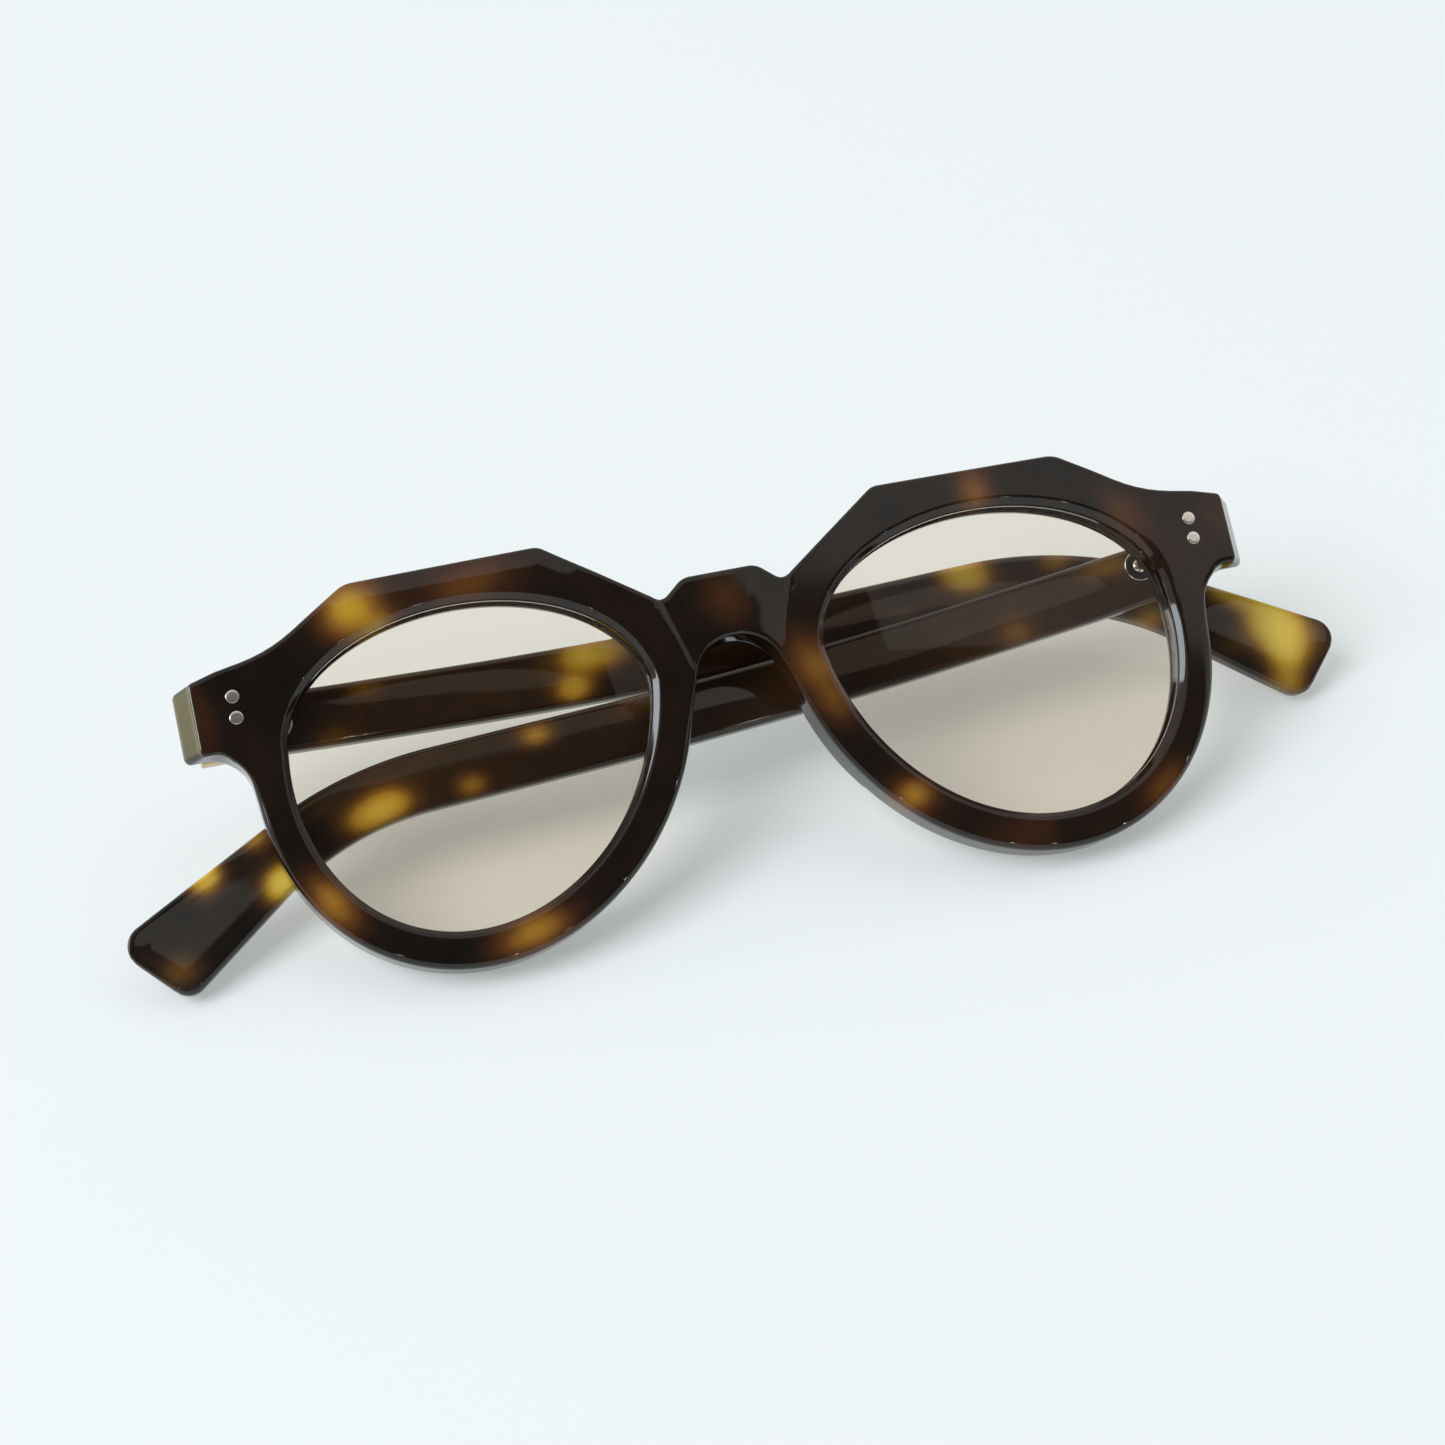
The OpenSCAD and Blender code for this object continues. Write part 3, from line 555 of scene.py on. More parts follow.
# the yellow blotches are real, but those with strength above 1 are made brighter than the acetate is: painted
# light standing in for light shining through the amber of the shaded temples
templeSpots = dict(
    left=[
        (1.0, -3.2, 2.4, 2.4, 0, 1.0), (-20.2, 2.5, 2.8, 1.5, 0, 0.5), (-25.6, 3.4, 3.5, 1.2, 0, 0.2),
        (-14.8, -3.4, 3.2, 2.0, 0, 0.48), (-16.5, -0.4, 3.5, 1.6, 0, 0.15), (-51.4, 1.3, 5.4, 2.6, 0, 0.95),
        (-49.4, 1.5, 2.4, 1.7, 0, 0.25), (-47.8, -2.9, 2.8, 2.0, 0, 0.95), (-94.5, -1.3, 3.0, 1.0, 0, 0.3),
        (-104.8, 2.6, 3.8, 2.6, 10, 1.35), (-118.0, 2.0, 2.8, 1.6, 0, 0.55),
        (-129.2, -8.0, 2.9, 2.8, 0, 0.75), (-146.2, -13.2, 5.2, 4.6, 40, 1.45),
        (-140.8, -7.2, 4.8, 2.3, 30, 0.95), (-146.6, -18.8, 3.2, 3.2, 0, 0.6),
        (-145.4, -22.2, 4.0, 2.0, 20, 0.5), (-138.3, -15.0, 2.6, 2.4, 0, 0.24),
        (-152.0, -17.2, 2.4, 3.2, 0, 0.16),
    ],
    right=[
        (-12.2, 1.2, 4.2, 1.8, 0, 0.45), (-27.8, -4.2, 2.7, 2.3, 0, 0.3), (-81.0, 0.9, 3.5, 1.8, 0, 0.3),
        (-95.0, 0.4, 2.7, 1.7, 0, 0.7), (-105.0, -3.8, 2.2, 1.8, 0, 0.55), (-116.2, -3.2, 3.2, 2.3, 0, 0.9),
        (-120.0, -4.2, 3.0, 2.3, 0, 0.75), (-134.2, -2.8, 2.6, 2.1, 0, 0.65),
        (-141.8, -6.0, 2.9, 2.4, 30, 1.15), (-132.0, -9.4, 3.2, 2.6, 30, 1.5),
        (-147.9, -16.7, 2.6, 2.4, 0, 0.4), (-126.0, -1.0, 3.0, 1.8, 0, 0.2),
    ],
)


def foldPlace(side):
    # from the hinge's own frame to the world: fold about the screw, then mirror for the left
    fold = math.radians(templeSet[side]["fold"])
    c, n = math.cos(fold), math.sin(fold)

    def place(points):
        x, y, z = points.T
        return toWorld((np.stack([x * c + z * n, y, z * c - x * n], -1) + pin) * handOf(side))
    return place


def buildTemple(side):
    # inner and outer faces over the side outline, each dropped by its distance from the edges, and a wall
    s, own = templeSizes, templeSet[side]
    butt = hingePlace["pinBack"] - s["stopGap"]
    droop = math.radians(own["droop"])
    top = s["buttHigh"] / 2 + own["lift"]
    low, under = top - s["shaftHigh"], top - s["buttHigh"]
    midX, lowBend, lowTip = -s["bendAt"] / 2, -s["bendAt"] - s["bendStep"], -s["long"] + s["tipBack"]
    fall, steep = math.tan(math.radians(own["fall"])), math.tan(math.radians(own["fall"] + s["tipFlare"]))

    def buttAt(y):
        return np.array([(butt + y * math.sin(droop)) / math.cos(droop), y])

    # corners of the side outline: shaft sagging between hinge and bend, then the flared tip
    topMid, topBend = (midX, top - s["sag"]), (-s["bendAt"], top)
    tipTop = (-s["long"], top - (s["long"] - s["bendAt"]) * fall)
    tipLow = (lowTip, low + (lowTip - lowBend) * steep)
    lowMid = (midX, low - s["sag"])
    taper = (-s["buttTaper"], low - s["sag"] * s["buttTaper"] / -midX)
    tipTopArc = arcCorner(topBend, tipTop, tipLow, s["tipTopR"], 6)
    tipLowArc = arcCorner(tipTop, tipLow, (lowBend, low), s["tipLowR"], 6)
    buttArc = arcCorner(buttAt(top), buttAt(under), taper, own["buttR"], 8)
    tipTopHalf, tipLowHalf, buttHalf = len(tipTopArc) // 2, len(tipLowArc) // 2, len(buttArc) // 2
    topLine = filled([buttAt(top), arcCorner(buttAt(top), topMid, topBend, s["sagR"], 0.3),
                      arcCorner(topMid, topBend, tipTop, s["bendTopR"], 1), tipTopArc[:tipTopHalf + 1]], 0.5)
    lowLine = filled([buttArc[buttHalf:], arcCorner(buttAt(under), taper, lowMid, s["taperR"], 0.5),
                      arcCorner(taper, lowMid, (lowBend, low), s["sagR"], 0.3),
                      arcCorner(lowMid, (lowBend, low), tipLow, s["bendLowR"], 1),
                      tipLowArc[tipLowHalf:][::-1]], 0.5)
    tipLine = filled([tipLowArc[:tipLowHalf + 1][::-1], tipTopArc[tipTopHalf:][::-1]], 0.3)
    buttLine = filled([buttArc[:buttHalf + 1][::-1], buttAt(top)], 0.5)
    startShare, endShare = edgeShares(0.6, 6) / s["long"], 1 - edgeShares(3.2, 16)[::-1] / s["long"]
    shareU = np.concatenate([startShare, np.linspace(startShare[-1], endShare[0], 190)[1:-1], endShare])
    rowEdge = edgeShares(0.13, 8)
    shareV = np.concatenate([rowEdge, np.linspace(rowEdge[-1], 1 - rowEdge[-1], 9)[1:-1], 1 - rowEdge[::-1]])
    face = coons(lowLine, topLine, buttLine, tipLine, shareU, shareV)

    def rimOf(grid):
        return np.concatenate([grid[0], grid[1:, -1], grid[-1, ::-1][1:], grid[1:-1, 0][::-1]])

    d = edgeDistance(face, rimOf(face))
    fromButt = face[..., 0] * math.cos(droop) - face[..., 1] * math.sin(droop)
    edge = s["buttEdge"] + (s["edge"] - s["buttEdge"]) * smooth((butt - fromButt) / s["buttRun"])
    u = -face[..., 0]
    curled = np.maximum(u - s["curlAt"], 0)
    inner = s["curlR"] - np.sqrt(s["curlR"] ** 2 - curled ** 2) - s["toPin"]
    outer = inner - s["thick"] + curled / (s["long"] - s["curlAt"]) * (s["thick"] - s["tipThick"])
    tip = smooth((u - s["long"] + s["tipRun"]) / s["tipRun"])
    wide, deep = edge + (s["tipEdgeWide"] - edge) * tip, edge + (s["tipEdgeDeep"] - edge) * tip
    drop = quarter(d, wide, deep) + roll(d, s["rollWide"], s["rollDeep"])
    # upper half of the inner face falls back a little, from a line that waves along the shaft
    wave = s["slopeWave"] * np.sin(u * 2 * math.pi / s["slopeLong"])
    middle = (face[:1] + face[-1:])[..., 1] / 2 + s["slopeAt"] + wave
    over = np.maximum(face[..., 1] - middle, 0)
    slope = s["slopeFall"] * over * smooth(over / s["slopeSoft"])
    slope = slope * smooth((u - s["slopeFrom"]) / s["slopeFromRun"])
    slope = slope * smooth((s["bendAt"] + s["slopePast"] - u) / s["slopePastRun"])
    # flat ground into the tip's inner face, with rounded corners at its inner end
    tipMid = (np.array(tipTop) + np.array(tipLow)) / 2
    across = unit(np.array(tipTop) - np.array(tipLow))
    up = (face - tipMid) @ across
    past = s["flatAt"] - (face - tipMid) @ np.array([across[1], -across[0]]) - s["flatSlant"] * up
    toEnd, toSide = np.maximum(s["flatR"] - past, 0), np.maximum(s["flatR"] - d + s["flatInset"], 0)
    within = smooth((s["flatR"] - np.hypot(toEnd, toSide)) / s["flatSoft"] + 0.5)
    flat = np.maximum(s["flatDeep"] + s["flatTilt"] * up, 0) * within
    inFace = np.concatenate([face, (inner - drop - flat - slope)[..., None]], -1)
    outFace = np.concatenate([face, (outer + drop)[..., None]], -1)

    shell = Shell()
    shell.add(inFace)
    shell.add(outFace)
    wall = rimOf(inFace) + (rimOf(outFace) - rimOf(inFace)) * np.linspace(0, 1, 5)[:, None, None]
    shell.add(wall, True)

    def tone(points, given):
        fade = smooth((-points[:, 0] - s["bendAt"] - s["tipToneAt"]) / s["tipToneRun"])
        base = s["baseTone"] + (s["tipTone"] - s["baseTone"]) * fade
        return given + base + spotTone(points[:, 0], points[:, 1], templeSpots[side])

    def place(points):
        c, n = math.cos(droop), math.sin(droop)
        x, y, z = points.T
        return foldPlace(side)(np.stack([x * c - y * n, x * n + y * c, z], -1))

    piece = shell.mesh(side + "_acetate_temple", place, tone)
    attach(piece, side + "_temple_body")
    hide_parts(side + "_temple")
    return piece


templePieces = [buildTemple(side) for side in ("left", "right")]
print("temples built:", [len(p.data.polygons) for p in templePieces])


# Hinges and rivets
hingeSizes = dict(
    barrelHigh=6.0, barrelWide=2.5, barrelGap=0.06, leaf=0.6, leafRound=0.24, bore=0.62, bevel=0.09,
    frontLeafHigh=7.4, frontLeafOut=1.4, frontCorner=0.6,
    templeLeafHigh=4.2, templeLeafAt=1.5, templeRivetAt=4.5, templeRivetStep=3.6,
    frontWebSink=0.1, templeWebReach=0.2,
)
rivetSizes = dict(wide=1.75, up=2.7, step=2.8, inward=2.8, proud=0.07, edge=0.1, tail=0.04)


def addPlate(shell, path, spine, base, top):
    # plate over a closed outline: walls, a rounded upper edge, and faces drawn in to its spine
    soft = hingeSizes["leafRound"]
    turn = np.linspace(0, math.pi / 2, 6)
    drawn = np.concatenate([[1e3, 0], soft * (1 - np.cos(turn)), [2 * soft, 1e3]])
    side = math.copysign(soft, top - base)
    heights = np.concatenate([[base, base], top - side + side * np.sin(turn), [top, top]])
    reach = np.linalg.norm(spine - path, axis=1)
    share = np.minimum(drawn[:, None] / reach, 1)[..., None]
    flat = path + (spine - path) * share
    shell.add(np.concatenate([flat, np.broadcast_to(heights[:, None, None], (*flat.shape[:2], 1))], -1), True)


def addKnuckle(shell, profile, number):
    # one barrel with its web: a profile in x and z carried along y, bevelled at both ends and bored
    h = hingeSizes
    step = h["barrelHigh"] / 5
    half, mid = (step - h["barrelGap"]) / 2, (number - 2) * step
    turn = np.arctan2(profile[:, 1], profile[:, 0])
    bore = h["bore"] * np.stack([np.cos(turn), np.sin(turn)], -1)
    inset = profile * (1 - h["bevel"] / np.linalg.norm(profile, axis=1, keepdims=True))
    rings = [(bore, -half), (inset, -half), (profile, h["bevel"] - half), (profile, half - h["bevel"]),
             (inset, half), (bore, half), (bore, -half)]
    rows = [np.stack([ring[:, 0], np.full(len(ring), mid + y), ring[:, 1]], -1) for ring, y in rings]
    shell.add(np.stack(rows), True)


def buildTempleHinge(side):
    # leaf with one round end on the temple, and two barrels between the front's three
    h = hingeSizes
    half, near = h["templeLeafHigh"] / 2, -h["templeLeafAt"]
    end = -h["templeRivetAt"] - h["templeRivetStep"]
    bow = np.radians(np.linspace(90, 270, 31))
    round1 = arcCorner((end, -half), (near, -half), (near, 0), h["frontCorner"], 12)
    round2 = arcCorner((near, 0), (near, half), (end, half), h["frontCorner"], 12)
    path = np.concatenate([half * np.stack([np.cos(bow), np.sin(bow)], -1) + [end, 0], round1, round2])
    path = filled([path, path[:1]], 0.6)[:-1]
    spine = np.stack([np.clip(path[:, 0], end, near - half / 2), 0 * path[:, 0]], -1)
    base = -templeSizes["toPin"]
    droop = np.array(Matrix.Rotation(math.radians(templeSet[side]["droop"]), 2))
    shell = Shell()
    addPlate(shell, path @ droop.T, spine @ droop.T, base, base + h["leaf"])
    r = h["barrelWide"] / 2
    arc = np.radians(np.linspace(-80, 150, 36))
    web = [(near - h["leaf"], base + h["leaf"]), (near - h["leaf"], base), (h["templeWebReach"], base)]
    profile = filled([r * np.stack([np.cos(arc), np.sin(arc)], -1), np.array(web)], 0.3)
    for number in (1, 3):
        addKnuckle(shell, profile, number)
    piece = shell.mesh(side + "_temple_leaf", foldPlace(side))
    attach(piece, side + "_temple_body")
    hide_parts(side + "_temple_hinge")
    return piece


def frontPlace(side, start=0):
    # from the front's own frame, or from a start in it, to the world
    return lambda points: toWorld((points + start) * handOf(side))


def buildFrontHinge(side):
    # leaf with four rounded corners on the end piece's back, and three barrels
    h = hingeSizes
    half, low, high = h["frontLeafHigh"] / 2, -hingePlace["leafIn"], h["frontLeafOut"]
    corners = [(low, -half), (high, -half), (high, half), (low, half)]
    around4 = corners[-1:] + corners + corners[:1]
    path = np.concatenate([arcCorner(*around4[k:k + 3], h["frontCorner"], 12) for k in range(4)])
    path = filled([path, path[:1]], 0.6)[:-1]
    spine = np.stack([np.full(len(path), (low + high) / 2), np.clip(path[:, 1], -1, 1)], -1)
    base = hingePlace["pinBack"]
    shell = Shell()
    addPlate(shell, path, spine, base, base - h["leaf"])
    r = h["barrelWide"] / 2
    arc = np.radians(np.linspace(170, 370, 32))
    web = [(r, base - h["frontWebSink"]), (-r, base - h["frontWebSink"])]
    profile = filled([r * np.stack([np.cos(arc), np.sin(arc)], -1), np.array(web)], 0.3)
    for number in (0, 2, 4):
        addKnuckle(shell, profile, number)
    piece = shell.mesh(side + "_front_leaf", frontPlace(side, pin))
    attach(piece, "front_body")
    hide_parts(side + "_front_hinge")
    return piece


def buildRivet(side, level):
    # turned pin through the front: a flat cap that follows the front's slope, a soft edge, and a shank
    v = rivetSizes
    midX, midY = pinX - v["inward"], v["up"] - v["step"] * ("upper", "lower").index(level)
    r, top, low = v["wide"] / 2, float(frontZ(midX)) + v["proud"], seatZ - hingeSizes["leaf"] - v["tail"]
    turn = np.linspace(0, math.pi / 2, 5)
    radii = np.concatenate([[0, r * 0.5], r - v["edge"] * (1 - np.sin(turn)), [r, 0]])
    heights = np.concatenate([[top, top], top - v["edge"] * (1 - np.cos(turn)), [low, low]])
    spin = np.radians(np.arange(0, 360, 7.5))
    x, y = midX + radii[:, None] * np.cos(spin), midY + radii[:, None] * np.sin(spin)
    z = heights[:, None] - np.where(heights[:, None] > low, (x - midX) * midX / acetateFront["curve"], 0)
    shell = Shell()
    shell.add(np.stack([x, y, z], -1), True)
    piece = shell.mesh("%s_%s_rivet_pin" % (side, level), frontPlace(side))
    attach(piece, "front_body")
    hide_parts("%s_%s_front_rivet" % (side, level))
    return piece


hingePieces = [make(side) for side in ("left", "right") for make in (buildTempleHinge, buildFrontHinge)]
rivetPieces = [buildRivet(side, level) for side in ("left", "right") for level in ("upper", "lower")]
print("hinges and rivets built")


# Materials
def newMaterial(name):
    made = bpy.data.materials.new(name)
    made.use_nodes = True
    tree = made.node_tree
    return made, tree, tree.nodes["Principled BSDF"]


def addNode(tree, kind, **settings):
    made = tree.nodes.new(kind)
    for key, value in settings.items():
        setattr(made, key, value)
    return made


def joined(tree, source, target):
    tree.links.new(source, target)


# browns and ambers by tone from -0.5 to 2; the first is the pale layer that the end faces are cut through
shellLook = dict(
    front=[(-0.5, (0.095, 0.072, 0.010)), (-0.2, (0.0045, 0.0034, 0.0025)), (0.0, (0.0045, 0.0034, 0.0025)),
           (0.12, (0.011, 0.0056, 0.0032)), (0.3, (0.038, 0.014, 0.005)), (0.5, (0.100, 0.038, 0.008)),
           (0.72, (0.230, 0.108, 0.015)), (1.0, (0.490, 0.285, 0.022)), (1.3, (0.680, 0.480, 0.060))],
    # the temple's top stop, at tone 1.7, is real amber made brighter than the acetate: painted light standing
    # in for light shining through the shaded temples
    temple=[(0.0, (0.0055, 0.0042, 0.0032)), (0.12, (0.013, 0.0085, 0.0055)), (0.3, (0.038, 0.019, 0.0085)),
            (0.5, (0.095, 0.045, 0.011)), (0.72, (0.230, 0.120, 0.016)), (1.0, (0.500, 0.310, 0.034)),
            (1.3, (0.690, 0.490, 0.068)), (1.7, (0.860, 0.650, 0.100))],
    mottle=0.07, mottleSize=260, drift=0.2, driftSize=55, detail=3,  # fine and wide clouds in the tone
    rampScale=0.4, rampShift=0.2,  # bring the tones into the ramp's 0 to 1
    roughness=0.05, index=1.48,
)


def shellMaterial(name, colours):
    # tone of each point, stirred by two sizes of cloud, read through one ramp of browns and ambers
    look = shellLook
    made, tree, shader = newMaterial(name)
    tone = addNode(tree, "ShaderNodeAttribute", attribute_name="tone")
    place = addNode(tree, "ShaderNodeTexCoord")
    total = tone.outputs["Fac"]
    for size, strength in ((look["mottleSize"], look["mottle"]), (look["driftSize"], look["drift"])):
        cloud = addNode(tree, "ShaderNodeTexNoise")
        cloud.inputs["Scale"].default_value = size
        cloud.inputs["Detail"].default_value = look["detail"]
        joined(tree, place.outputs["Object"], cloud.inputs["Vector"])
        stir = addNode(tree, "ShaderNodeMath", operation="MULTIPLY_ADD")
        joined(tree, cloud.outputs["Fac"], stir.inputs[0])
        stir.inputs[1].default_value = 2 * strength
        stir.inputs[2].default_value = -strength
        both = addNode(tree, "ShaderNodeMath", operation="ADD")
        joined(tree, total, both.inputs[0])
        joined(tree, stir.outputs[0], both.inputs[1])
        total = both.outputs[0]
    scaled = addNode(tree, "ShaderNodeMath", operation="MULTIPLY_ADD")
    joined(tree, total, scaled.inputs[0])
    scaled.inputs[1].default_value = look["rampScale"]
    scaled.inputs[2].default_value = look["rampShift"]
    ramp = addNode(tree, "ShaderNodeValToRGB")
    stops = ramp.color_ramp.elements
    while len(stops) < len(colours):
        stops.new(0.5)
    for stop, (at, colour) in zip(stops, colours):
        stop.position = at * look["rampScale"] + look["rampShift"]
        stop.color = (*colour, 1)
    joined(tree, scaled.outputs[0], ramp.inputs["Fac"])
    joined(tree, ramp.outputs["Color"], shader.inputs["Base Color"])
    shader.inputs["Roughness"].default_value = look["roughness"]
    shader.inputs["IOR"].default_value = look["index"]
    return made


lensLook = dict(tint=(0.929, 0.892, 0.836), gloss=0.02, index=1.42)


def lensMaterial():
    # thin clear sheet: what lies behind it shows, and its outer side reflects more at a slant
    made, tree, shader = newMaterial("clear_lens")
    tree.nodes.remove(shader)
    clear = addNode(tree, "ShaderNodeBsdfTransparent")
    clear.inputs["Color"].default_value = (*lensLook["tint"], 1)
    gloss = addNode(tree, "ShaderNodeBsdfGlossy")
    gloss.inputs["Roughness"].default_value = lensLook["gloss"]
    slant = addNode(tree, "ShaderNodeFresnel")
    slant.inputs["IOR"].default_value = lensLook["index"]
    side = addNode(tree, "ShaderNodeNewGeometry")
    outside = addNode(tree, "ShaderNodeMath", operation="SUBTRACT", use_clamp=True)
    joined(tree, slant.outputs[0], outside.inputs[0])
    joined(tree, side.outputs["Backfacing"], outside.inputs[1])
    mixed = addNode(tree, "ShaderNodeMixShader")
    joined(tree, outside.outputs[0], mixed.inputs[0])
    joined(tree, clear.outputs[0], mixed.inputs[1])
    joined(tree, gloss.outputs[0], mixed.inputs[2])
    joined(tree, mixed.outputs[0], tree.nodes["Material Output"].inputs["Surface"])
    return made


steelLook = dict(
    hinge=dict(colour=(0.72, 0.70, 0.66), roughness=0.22, scratch=0.15),
    rivet=dict(colour=(0.96, 0.93, 0.86), roughness=0.2, scratch=0.14),
    brushTurn=40, brushAcross=9000, brushAlong=700, dark=0.3, bright=0.7,
)


def metalMaterial(name, colour, roughness, scratch):
    # bright metal with fine brushed lines across the object
    look = steelLook
    made, tree, shader = newMaterial(name)
    shader.inputs["Metallic"].default_value = 1
    place = addNode(tree, "ShaderNodeTexCoord")
    stretch = addNode(tree, "ShaderNodeMapping")
    stretch.inputs["Rotation"].default_value = (0, 0, math.radians(look["brushTurn"]))
    stretch.inputs["Scale"].default_value = (look["brushAcross"], look["brushAlong"], look["brushAlong"])
    joined(tree, place.outputs["Object"], stretch.inputs["Vector"])
    lines = addNode(tree, "ShaderNodeTexNoise")
    lines.inputs["Scale"].default_value = 1
    lines.inputs["Detail"].default_value = 2
    joined(tree, stretch.outputs[0], lines.inputs["Vector"])
    ramp = addNode(tree, "ShaderNodeValToRGB")
    ramp.color_ramp.elements[0].position = look["dark"]
    ramp.color_ramp.elements[0].color = (*[c * (1 - scratch) for c in colour], 1)
    ramp.color_ramp.elements[1].position = look["bright"]
    ramp.color_ramp.elements[1].color = (*colour, 1)
    joined(tree, lines.outputs["Fac"], ramp.inputs["Fac"])
    joined(tree, ramp.outputs["Color"], shader.inputs["Base Color"])
    shader.inputs["Roughness"].default_value = roughness
    return made


frontShell = shellMaterial("front_tortoiseshell", shellLook["front"])
templeShell = shellMaterial("temple_tortoiseshell", shellLook["temple"])
clearLens = lensMaterial()
hingeSteel = metalMaterial("hinge_steel", **steelLook["hinge"])
rivetSteel = metalMaterial("rivet_steel", **steelLook["rivet"])


def dress(piece, material):
    piece.data.materials.clear()
    piece.data.materials.append(material)


for piece in [frontPiece] + padPieces:
    dress(piece, frontShell)
for piece in templePieces:
    dress(piece, templeShell)
for piece in lensPieces:
    dress(piece, clearLens)
for piece in rivetPieces + [node for name, node in nodes.items() if "temple_rivet" in name]:
    dress(piece, rivetSteel)
for piece in hingePieces + [node for name, node in nodes.items() if "screw" in name]:
    dress(piece, hingeSteel)
print("materials given")


# Stage, light and camera
roomLook = dict(
    ceiling=(0.71, 0.69, 0.66), dim=(0.10, 0.098, 0.094), table=(0.85, 0.897, 0.897), soft=0.003,
    edge=-0.335, rightFrom=0.19, rightReach=0.112, rightRise=0.04, rightSoft=0.01, horizon=0.01,
)
stageLook = dict(floor=(0.80, 0.87, 0.90), backdrop=0.35, size=2.4)
# bearing in degrees from straight in front towards the right, rise in degrees, sizes in metres
lampLook = dict(
    window=dict(
        bearing=-102, rise=21, far=1.3, wide=0.85, high=0.55, glow=8, colour=(0.82, 0.91, 1.0), lit=False,
    ),
    key=dict(bearing=-70, rise=48, far=4.0, wide=2.5, high=2.5, glow=6.6, mirrored=False),
)
sparkLook = dict(far=1.2, wide=0.024, high=0.024, glow=80, shape="ELLIPSE")
sparkPlaces = ((-28, 10), (4, 7), (17, 14), (36, 9), (58, 15))
# turns in degrees and place in millimetres in the front's own frame, focal length in the photograph's pixels
cameraLook = dict(
    turnX=-11.09, turnY=7.81, turnZ=12.51, stand=(-74.99, -78.78, 401.75),
    focalPixels=3185, photoPixels=1445, sensor=36, clipStart=0.01,
)


def buildFloor():
    half = stageLook["size"] / 2
    data = bpy.data.meshes.new("floor")
    corners = [(-half, -half, 0), (half, -half, 0), (half, half, 0), (-half, half, 0)]
    data.from_pydata(corners, [], [(0, 1, 2, 3)])
    floor = bpy.data.objects.new("floor", data)
    bpy.context.scene.collection.objects.link(floor)
    made, tree, shader = newMaterial("pale_floor")
    tree.nodes.remove(shader)
    pale = addNode(tree, "ShaderNodeBsdfDiffuse")
    pale.inputs["Color"].default_value = (*stageLook["floor"], 1)
    table = addNode(tree, "ShaderNodeEmission")
    table.inputs["Color"].default_value = (*roomLook["table"], 1)
    # seen straight, in gloss or through glass, part of the floor shows as the table's plain colour
    ray = addNode(tree, "ShaderNodeLightPath")
    seen = ray.outputs["Is Camera Ray"]
    for kind in ("Is Glossy Ray", "Is Transmission Ray"):
        either = addNode(tree, "ShaderNodeMath", operation="MAXIMUM")
        joined(tree, seen, either.inputs[0])
        joined(tree, ray.outputs[kind], either.inputs[1])
        seen = either.outputs[0]
    part = addNode(tree, "ShaderNodeMath", operation="MULTIPLY")
    joined(tree, seen, part.inputs[0])
    part.inputs[1].default_value = stageLook["backdrop"]
    mixed = addNode(tree, "ShaderNodeMixShader")
    joined(tree, part.outputs[0], mixed.inputs[0])
    joined(tree, pale.outputs[0], mixed.inputs[1])
    joined(tree, table.outputs[0], mixed.inputs[2])
    joined(tree, mixed.outputs[0], tree.nodes["Material Output"].inputs["Surface"])
    dress(floor, made)


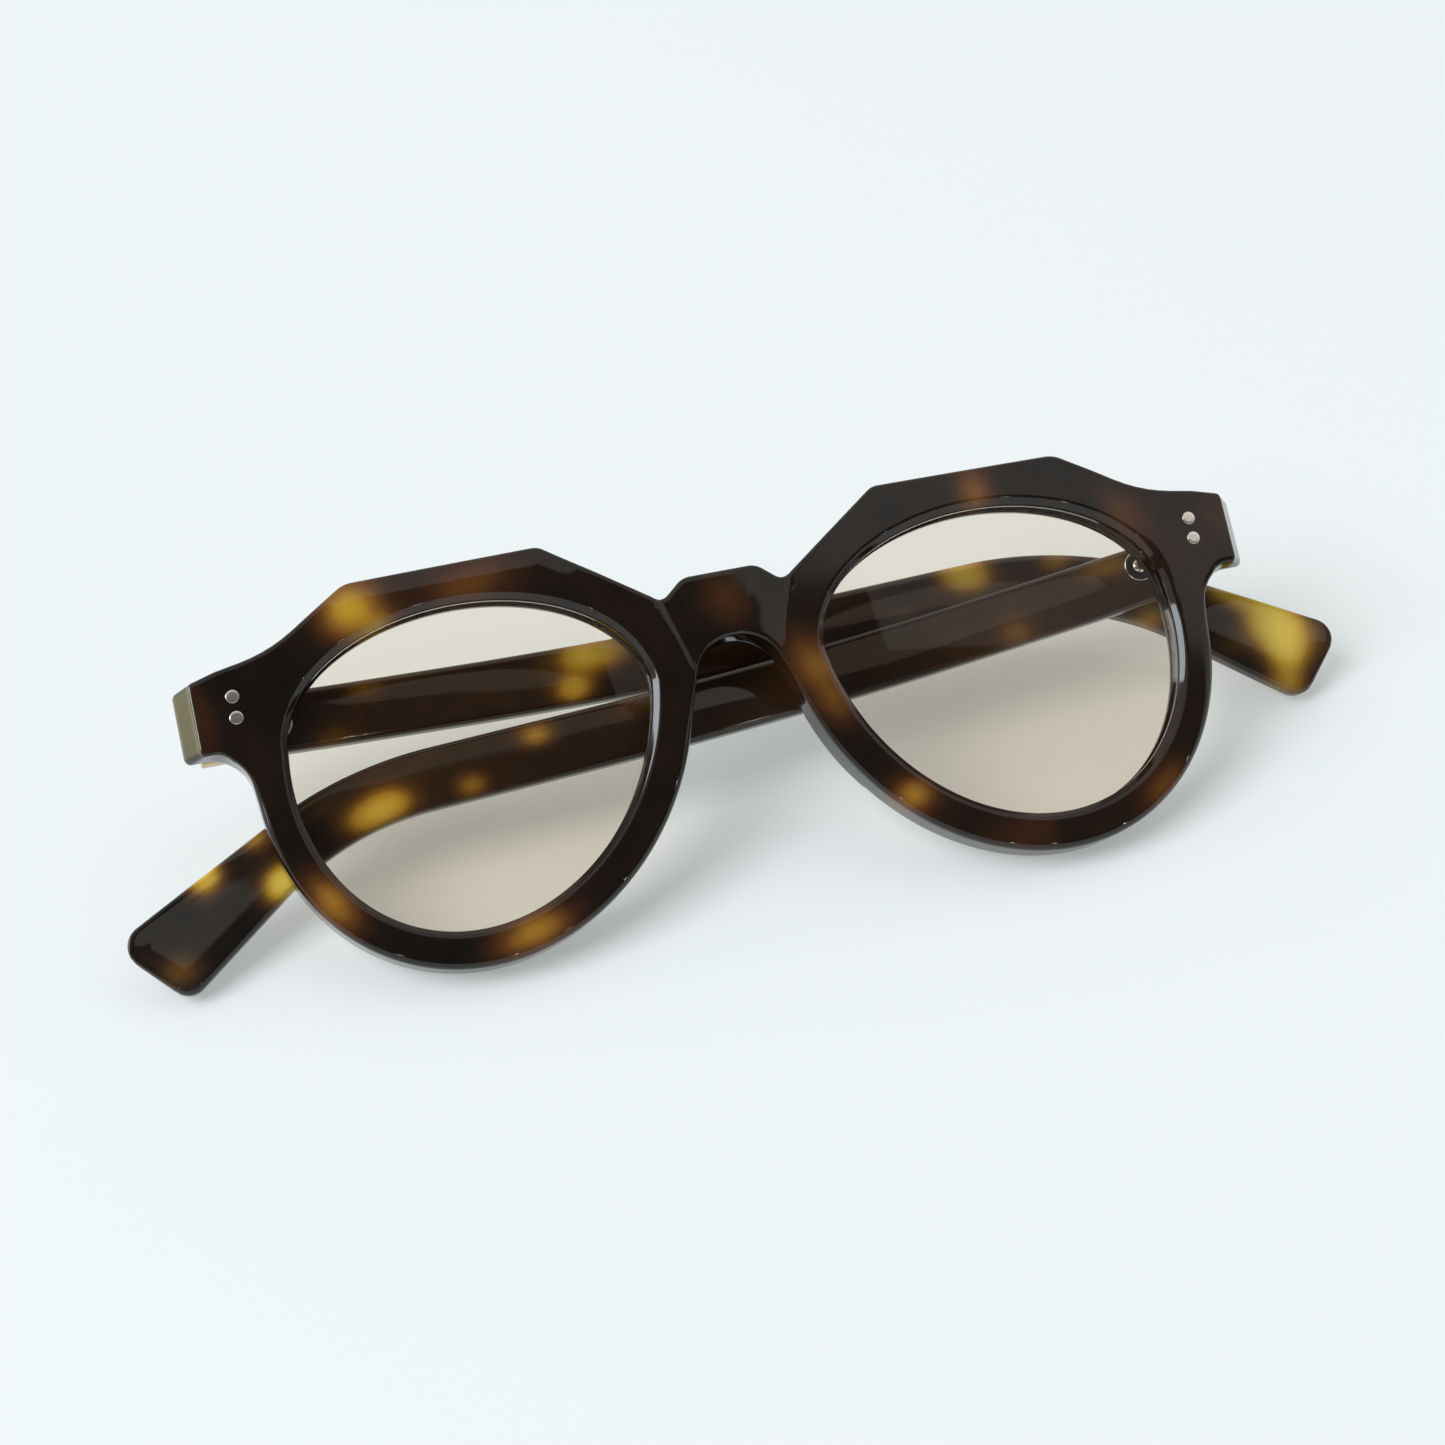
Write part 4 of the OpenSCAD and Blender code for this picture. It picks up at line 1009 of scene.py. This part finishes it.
def buildWorld():
    # pale table below, a pale ceiling that reaches further forward on the right, and a dim room before it
    world = bpy.data.worlds.new("room")
    bpy.context.scene.world = world
    world.use_nodes = True
    tree = world.node_tree
    back = tree.nodes["Background"]
    place = addNode(tree, "ShaderNodeTexCoord")
    parts = addNode(tree, "ShaderNodeSeparateXYZ")
    joined(tree, place.outputs["Generated"], parts.inputs[0])

    def step(source, low, high):
        made = addNode(tree, "ShaderNodeMapRange", interpolation_type="SMOOTHSTEP")
        made.inputs["From Min"].default_value = low
        made.inputs["From Max"].default_value = high
        joined(tree, source, made.inputs["Value"])
        return made.outputs["Result"]

    reach = addNode(tree, "ShaderNodeMath", operation="MULTIPLY_ADD")
    joined(tree, parts.outputs["X"], reach.inputs[0])
    reach.inputs[1].default_value = -roomLook["rightRise"]
    reach.inputs[2].default_value = roomLook["rightReach"] + roomLook["rightRise"] * roomLook["rightFrom"]
    right = addNode(tree, "ShaderNodeMath", operation="MULTIPLY_ADD")
    start, soft = roomLook["rightFrom"], roomLook["rightSoft"]
    joined(tree, step(parts.outputs["X"], start - soft, start + soft), right.inputs[0])
    joined(tree, reach.outputs[0], right.inputs[1])
    joined(tree, parts.outputs["Y"], right.inputs[2])
    above = step(right.outputs[0], roomLook["edge"] - roomLook["soft"], roomLook["edge"] + roomLook["soft"])
    below = step(parts.outputs["Z"], roomLook["horizon"], -roomLook["horizon"])
    ramp = addNode(tree, "ShaderNodeValToRGB")
    ramp.color_ramp.elements[0].color = (*roomLook["dim"], 1)
    ramp.color_ramp.elements[1].color = (*roomLook["ceiling"], 1)
    joined(tree, above, ramp.inputs["Fac"])
    # in a mix of colours, inputs 6 and 7 and output 2 are the colours
    mixed = addNode(tree, "ShaderNodeMix", data_type="RGBA")
    joined(tree, below, mixed.inputs["Factor"])
    joined(tree, ramp.outputs["Color"], mixed.inputs[6])
    mixed.inputs[7].default_value = (*roomLook["table"], 1)
    joined(tree, mixed.outputs[2], back.inputs["Color"])
    back.inputs["Strength"].default_value = 1


def addLamp(name, bearing, rise, far, wide, high, glow,
            colour=(1, 1, 1), mirrored=True, lit=True, shape="RECTANGLE"):
    # flat lamp that faces the object: glow is the brightness of its face,
    # mirrored says whether gloss shows it, and lit whether it lights matt faces
    b, r = math.radians(bearing), math.radians(rise)
    place = (far * math.cos(r) * math.sin(b), -far * math.cos(r) * math.cos(b), far * math.sin(r))
    data = bpy.data.lights.new(name, "AREA")
    data.shape = shape
    data.size = wide
    data.size_y = high
    data.energy = glow * math.pi * wide * high
    data.color = colour
    lamp = bpy.data.objects.new(name, data)
    lamp.location = place
    lamp.visible_glossy = mirrored
    lamp.visible_diffuse = lit
    lamp.rotation_euler = (-Vector(place)).to_track_quat("-Z", "Y").to_euler()
    bpy.context.scene.collection.objects.link(lamp)


def buildCamera():
    # camera solved from the photograph: turn of the front as seen, and where the camera stands
    look = cameraLook
    seen = Matrix.Rotation(math.radians(look["turnX"]), 3, "X")
    seen = seen @ Matrix.Rotation(math.radians(look["turnY"]), 3, "Y")
    seen = seen @ Matrix.Rotation(math.radians(look["turnZ"]), 3, "Z")
    rotation = Matrix.Rotation(lean, 3, "X") @ seen.transposed()
    stand = toWorld(np.array([look["stand"]]))[0] / 1000
    data = bpy.data.cameras.new("camera")
    data.sensor_width = look["sensor"]
    data.lens = look["sensor"] * look["focalPixels"] / look["photoPixels"]
    data.clip_start = look["clipStart"]
    camera = bpy.data.objects.new("camera", data)
    camera.matrix_world = Matrix.Translation(Vector(stand)) @ rotation.to_4x4()
    bpy.context.scene.collection.objects.link(camera)
    bpy.context.scene.camera = camera


buildFloor()
buildWorld()
buildCamera()
for name, look in lampLook.items():
    addLamp(name, **look)
for number, (bearing, rise) in enumerate(sparkPlaces):
    addLamp("spark_%d" % number, bearing, rise, **sparkLook)
bpy.context.scene.view_settings.view_transform = "Standard"
print("stage set")
